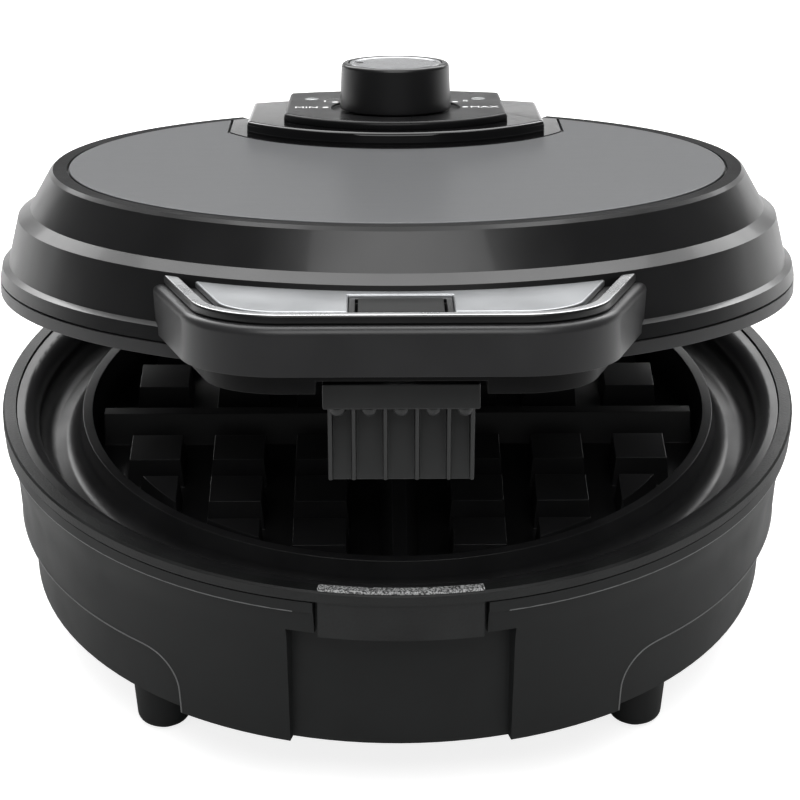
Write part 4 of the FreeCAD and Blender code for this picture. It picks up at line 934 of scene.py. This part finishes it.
@dataclass
class Controls(Assembly):
    """Two-tier control pod with its printed dial, indicator lenses and the knob."""

    axis_y: float = 66.0
    pod_top: float = 116.5
    pod_edge: float = 0.3
    panel_top: float = 119.0
    panel_edge: float = 0.25
    tier_roll: float = 1.3
    dish_radius: float = 20.6
    hole_margin: float = 0.5
    lens_x: float = 27.0
    lens_y: float = 84.0
    lens_radius: float = 2.4
    lens_low: float = 112.8
    # the lens above the panel: share of its radius, and rise
    lens_dome: tuple[Flat, ...] = ((1.0, 0.0), (0.9, 0.12), (0.62, 0.24), (0.25, 0.3))
    lens_steps: int = 32
    ink_sink: float = 0.02
    ink_rise: float = 0.03
    dot_ring: float = 22.3
    dot_radius: float = 1.0
    dot_steps: int = 24
    dot_count: int = 7
    dot_pitch: float = 30.0
    figure_ring: float = 26.2
    figure_size: float = 4.6
    figures: tuple[tuple[str, float], ...] = (
        ("1", 150.0), ("2", 120.0), ("3", 90.0), ("4", 60.0), ("5", 30.0))
    word_size: float = 4.3
    word_x: float = 28.4
    knob_low: float = 118.9
    knob_top: float = 133.4
    knob_radius: float = 17.7
    knob_neck: float = 17.1
    # the knob's rolled top edge: way in from its neck, and way down from its top
    knob_roll: tuple[Flat, ...] = ((-0.05, 1.2), (0.1, 0.7), (0.35, 0.3), (0.75, 0.05), (1.2, 0.0))
    knob_foot: float = 0.4
    seat_gap: float = 0.2
    seat_deep: float = 1.0
    cap_radius: float = 14.8
    cap_sink: float = 0.05
    cap_deep: float = 0.98
    # the cap's outer edge and step: way in from its radius, and way down from its top
    cap_edge: tuple[Flat, ...] = ((0.0, 0.35), (0.35, 0.0), (1.5, 0.0), (1.8, 0.2))
    # the cap's sunk middle: radius, and way down from its top
    cap_middle: tuple[Flat, ...] = ((4.0, 0.2), (0.5, 0.2))
    pointer_ring: float = 11.4
    pointer_azimuth: float = 172.0
    # the pointer's mark: radius, and way down from the cap's top
    pointer: tuple[Flat, ...] = ((1.15, 0.24), (1.15, 0.14), (1.0, 0.1))
    pointer_steps: int = 32

    def build(self) -> None:
        """Build and dress the controls."""
        self.soften("control_pod", Palette.piano, Body.LID, self.pod_edge,
                    rolled=self.outer_rim(self.pod_top), roll=self.tier_roll)
        self.soften("control_fascia", Palette.panel, Body.LID, self.panel_edge,
                    rolled=self.outer_rim(self.panel_top), roll=self.tier_roll)
        self.dress(Palette.board, "indicator_board")
        self.dress(Palette.ceramic, "thermostat")
        self.dress(Palette.steel, "thermostat_shaft")
        self.lenses()
        self.knob()
        self.dial()

    def outer_rim(self, level: float) -> Callable[[Any], bool]:
        """Make a test for edges round the outside of a tier's top.

        Args:
            level: The top's height with the lid shut, in millimetres.

        Returns:
            A test that leaves out the holes in the tier.
        """
        return lambda edge: all(
            abs(spot.z - level) < LEVEL_SLACK and self.clear_of_holes(spot)
            for spot in [(LID_SHUT @ vert.co) / MM for vert in edge.verts])

    def clear_of_holes(self, spot: Vector) -> bool:
        """Say whether a point of the panel lies away from the knob's dish and the lens holes.

        Args:
            spot: The point with the lid shut, in millimetres.

        Returns:
            Whether it does.
        """
        holes = ((0.0, self.axis_y, self.dish_radius),
                 (math.copysign(self.lens_x, spot.x), self.lens_y, self.lens_radius))
        return all((spot.xy - Vector((x, y))).length > radius + self.hole_margin for x, y, radius in holes)

    def around(self, ring: float, azimuth: float) -> Flat:
        """Find a point on a ring round the knob's axis.

        Args:
            ring: The ring's radius in millimetres.
            azimuth: The way out to the point, in degrees from X.

        Returns:
            The point with the lid shut, in millimetres.
        """
        turn = math.radians(azimuth)
        return ring * math.cos(turn), self.axis_y + ring * math.sin(turn)

    def lenses(self) -> None:
        """Turn one domed light pipe and stand a copy on each side."""
        profile = [(self.lens_radius, self.lens_low)]
        profile += [(share * self.lens_radius, self.panel_top + rise) for share, rise in self.lens_dome]
        pipe = lathe("indicator_pipe_left", profile, at=(-self.lens_x, self.lens_y), steps=self.lens_steps)
        twin = duplicate(pipe)
        twin.name = "indicator_pipe_right"
        twin.location.x = self.lens_x * MM
        for piece in (pipe, twin):
            settle(piece, LID_POSE)
            smooth(piece)
            self.place(piece, Palette.lens, Body.LID, "indicator_lenses")

    def knob(self) -> None:
        """Turn the knob with its rolled edge, the spun cap and the pointer mark."""
        top, seat = self.knob_top, self.cap_radius + self.seat_gap
        profile = [(self.knob_radius, self.knob_low)]
        profile += [(self.knob_neck - inward, top - down) for inward, down in self.knob_roll]
        profile += [(seat, top), (seat, top - self.seat_deep)]
        knob = lathe("knob_grip", profile, at=(0.0, self.axis_y))
        edit(knob)
        pick(knob, "edges", level_edges(self.knob_low))
        bpy.ops.mesh.bevel(offset=self.knob_foot * MM, segments=2)
        close()
        settle(knob, LID_POSE)
        smooth(knob, crease=30.0)
        self.place(knob, Palette.shell, Body.KNOB, "knob_body")

        cap_top = top - self.cap_sink
        profile = [(self.cap_radius, top - self.cap_deep)]
        profile += [(self.cap_radius - inward, cap_top - down) for inward, down in self.cap_edge]
        profile += [(radius, cap_top - down) for radius, down in self.cap_middle]
        cap = lathe("knob_spun_cap", profile, at=(0.0, self.axis_y))
        settle(cap, LID_POSE)
        smooth(cap, crease=25.0)
        self.place(cap, Palette.spun, Body.KNOB, "knob_cap")

        mark = lathe("knob_pointer", [(radius, cap_top - down) for radius, down in self.pointer],
                     at=self.around(self.pointer_ring, self.pointer_azimuth), steps=self.pointer_steps)
        settle(mark, LID_POSE)
        smooth(mark)
        self.place(mark, Palette.mark, Body.KNOB)

    def dial(self) -> None:
        """Print the dots, figures and end words round the knob."""
        dot = lathe("dial_dot", ((self.dot_radius, self.panel_top - self.ink_sink),
                                 (self.dot_radius, self.panel_top + self.ink_rise)), steps=self.dot_steps)
        prints = [stamp(dot, "dial_dots", [
            (*self.around(self.dot_ring, self.dot_pitch * step), 0.0) for step in range(self.dot_count)])]
        for figure, azimuth in self.figures:
            prints.append(self.lettering(figure, self.figure_size, self.around(self.figure_ring, azimuth)))
        for word, x in (("MIN", -self.word_x), ("MAX", self.word_x)):
            prints.append(self.lettering(word, self.word_size, (x, self.axis_y)))
        dial = join(prints, "dial_print")
        settle(dial, LID_POSE)
        self.place(dial, Palette.ink, Body.LID)

    def lettering(self, words: str, size: float, middle: Flat) -> bpy.types.Object:
        """Set a word as a thin film of ink on the panel.

        Args:
            words: What it says.
            size: Letter size in millimetres.
            middle: Middle of the word, in millimetres.

        Returns:
            The lettering as a mesh.
        """
        text = begin(bpy.ops.object.text_add, f"dial_{words}")
        text.data.body = words
        text.data.size = size * MM
        text.data.align_x = "CENTER"
        text.data.align_y = "CENTER"
        text.data.extrude = (self.ink_rise + self.ink_sink) / 2.0 * MM
        text = to_mesh(text)
        x, y = middle
        text.location = (x * MM, y * MM, (self.panel_top + (self.ink_rise - self.ink_sink) / 2.0) * MM)
        return text


@dataclass
class Handle(Assembly):
    """Grip with its raised frame, satin cover, release bezel and lower belly."""

    grip_edge: float = 1.2
    frame_edge: float = 0.7
    moulded: tuple[tuple[str, Finish, float], ...] = (
        ("handle_top_cover", Palette.silver, 0.6),
        ("release_bezel", Palette.shell, 0.2),
        # the belly wears the painted shade
        ("handle_belly", Palette.shade, 1.5),
    )
    # faces of the frame count as its top where their normals rise at least this much
    top_rise: float = 0.8
    screw_seat: Point = (42.0, -126.0, 78.6)
    screw_long: float = 9.6

    def build(self) -> None:
        """Build and dress the handle, with the frame's top painted bright silver as a painted highlight and
        its sides black.
        """
        self.soften("handle_body", Palette.grip, Body.LID, self.grip_edge)
        frame = self.soften("handle_frame", Palette.shell, Body.LID, self.frame_edge)
        shut = LID_SHUT.to_3x3()
        # the frame's top faces get the painted highlight
        paint(frame, Palette.trim_highlight, lambda face: (shut @ face.normal).z > self.top_rise)
        self.soften_all(Body.LID, self.moulded)
        self.dress(Palette.steel, "handle_anchor_screws")
        x, y, z = self.screw_seat
        self.screws("handle_screws", Body.LID, self.screw_long, 180.0, ((-x, y, z), (x, y, z)), LID_POSE)


@dataclass
class LatchSet(Assembly):
    """Sprung latch with its ribs, bumps, pin and release tab."""

    edge: float = 0.45
    tab_edge: float = 0.4
    bump_radius: float = 2.3
    bump_pitch: float = 8.3
    bump_y: float = -130.6
    bump_sink: float = 0.02
    flange_low: float = 70.2

    def build(self) -> None:
        """Build and dress the latch."""
        self.soften("latch", Palette.nylon, Body.LATCH, self.edge, segments=2)
        self.soften("release_tab", Palette.tab, Body.LATCH, self.tab_edge)
        self.dress(Palette.steel, "latch_pin", "latch_spring")
        self.bumps()

    def bumps(self) -> None:
        """Model one round stop under the flange and copy it between the ribs."""
        low = self.flange_low
        first = begin(bpy.ops.mesh.primitive_uv_sphere_add, "latch_bump", segments=24, ring_count=16,
                      radius=self.bump_radius * MM, location=(0.0, self.bump_y * MM, low * MM))
        settle(first)
        edit(first, "VERT")
        bpy.ops.mesh.select_all(action="SELECT")
        bpy.ops.mesh.bisect(plane_co=(0.0, 0.0, (low + self.bump_sink) * MM), plane_no=(0.0, 0.0, 1.0),
                            use_fill=True, clear_outer=True)
        close()
        row = stamp(first, "latch_bumps", [(step * self.bump_pitch, 0.0, 0.0) for step in range(-2, 3)])
        settle(row, LID_POSE)
        smooth(row, crease=40.0)
        self.place(row, Palette.nylon, Body.LATCH)


@dataclass
class Studio:
    """Pale floor, soft panels, white surroundings and the camera."""

    floor_size: float = 6.0
    floor_colour: str = "#cdcdcd"
    # light that the floor adds for the camera alone, which keeps it white round the shadow
    floor_glow: float = 0.82
    # how bright the world is in gloss, in front and behind, and over which reach of Y it changes
    gloss_levels: Flat = (0.10, 0.12)
    gloss_reach: Flat = (-0.25, 0.45)
    fill_level: float = 0.35
    aim: Point = (0.0, 0.0, 0.08)
    eye: Point = (-0.0065, -0.809, 0.507)
    pitch: float = 28.41
    yaw: float = -0.515
    lens: float = 135.0
    sensor: float = 36.0
    clip_start: float = 0.05
    # each panel: name, place, width and height, and power
    panels: tuple[tuple[str, Point, Flat, float], ...] = (
        ("top_rear_panel", (0.0, 0.80, 1.05), (1.5, 1.5), 30.0),
        ("top_front_panel", (0.0, -0.80, 1.30), (1.2, 0.8), 10.0),
        ("left_panel", (-0.80, 1.35, 0.62), (0.5, 0.6), 3.5),
        ("right_panel", (0.80, 1.35, 0.62), (0.5, 0.6), 3.5),
    )

    def build(self) -> None:
        """Set up floor, light and camera."""
        self.floor()
        self.surroundings()
        for name, where, size, watts in self.panels:
            self.panel(name, where, size, watts)
        self.camera()
        bpy.context.scene.view_settings.view_transform = "Standard"

    def floor(self) -> None:
        """Lay the pale floor, which stays white to the camera and keeps the shadow."""
        floor = begin(bpy.ops.mesh.primitive_plane_add, "floor", size=self.floor_size)
        made = bpy.data.materials.new("floor_white_paper")
        tree = bare_tree(made)
        path = add_node(tree, "ShaderNodeLightPath")
        seen = combine(tree, "MULTIPLY", path.outputs["Is Camera Ray"], self.floor_glow)
        paper = add_node(tree, "ShaderNodeBsdfDiffuse", {"Color": linear(self.floor_colour)})
        glow = add_node(tree, "ShaderNodeEmission", {"Color": linear(WHITE), "Strength": seen})
        both = add_node(tree, "ShaderNodeAddShader", {
            0: paper.outputs["BSDF"], 1: glow.outputs["Emission"]})
        add_node(tree, "ShaderNodeOutputMaterial", {"Surface": both.outputs["Shader"]})
        floor.data.materials.append(made)

    def surroundings(self) -> None:
        """Make the world: white to the camera, dim in gloss and low for fill."""
        world = bpy.data.worlds.new("studio_world")
        bpy.context.scene.world = world
        tree = bare_tree(world)
        path = add_node(tree, "ShaderNodeLightPath")
        way = add_node(tree, "ShaderNodeTexCoord").outputs["Generated"]
        depth = add_node(tree, "ShaderNodeSeparateXYZ", {"Vector": way}).outputs["Y"]
        behind = add_node(tree, "ShaderNodeMapRange", {
            "Value": depth, "From Min": self.gloss_reach[0], "From Max": self.gloss_reach[1],
            "To Min": self.gloss_levels[0], "To Max": self.gloss_levels[1]}, interpolation_type="SMOOTHSTEP")
        clear = combine(tree, "MAXIMUM", path.outputs["Is Camera Ray"], path.outputs["Is Transmission Ray"])
        gloss = combine(tree, "MULTIPLY", path.outputs["Is Glossy Ray"], behind.outputs["Result"])
        fill = combine(tree, "MULTIPLY", path.outputs["Is Diffuse Ray"], self.fill_level)
        level = combine(tree, "MAXIMUM", clear, combine(tree, "MAXIMUM", gloss, fill))
        white = add_node(tree, "ShaderNodeBackground", {"Color": linear(WHITE), "Strength": level})
        add_node(tree, "ShaderNodeOutputWorld", {"Surface": white.outputs["Background"]})

    def panel(self, name: str, where: Point, size: Flat, watts: float) -> None:
        """Hang one soft panel, turned to the object.

        Args:
            name: The lamp's name.
            where: Its place in metres.
            size: Width and height in metres.
            watts: Its power.
        """
        lamp = begin(bpy.ops.object.light_add, name, type="AREA", location=where)
        lamp.data.shape = "RECTANGLE"
        lamp.data.size, lamp.data.size_y = size
        lamp.data.energy = watts
        lamp.rotation_euler = (Vector(self.aim) - Vector(where)).to_track_quat("-Z", "Y").to_euler()

    def camera(self) -> None:
        """Stand the camera where the photograph was taken from."""
        camera = begin(bpy.ops.object.camera_add, "camera", location=self.eye, rotation=(
            math.radians(90.0 - self.pitch), 0.0, math.radians(self.yaw)))
        camera.data.lens = self.lens
        camera.data.sensor_width = self.sensor
        camera.data.clip_start = self.clip_start
        bpy.context.scene.camera = camera


def clear_stage() -> None:
    """Remove what a new file starts with."""
    for thing in list(bpy.data.objects):
        bpy.data.objects.remove(thing)


def main() -> None:
    """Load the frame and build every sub-assembly."""
    logging.basicConfig(level=logging.INFO, format="%(name)s: %(message)s")
    clear_stage()
    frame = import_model()
    for kind in (Tub, WafflePlates, RearHinge, LidShell, Controls, Handle, LatchSet):
        log.info("building %s", kind.__name__)
        kind(frame).build()
    Studio().build()


if __name__ == "__main__":
    main()
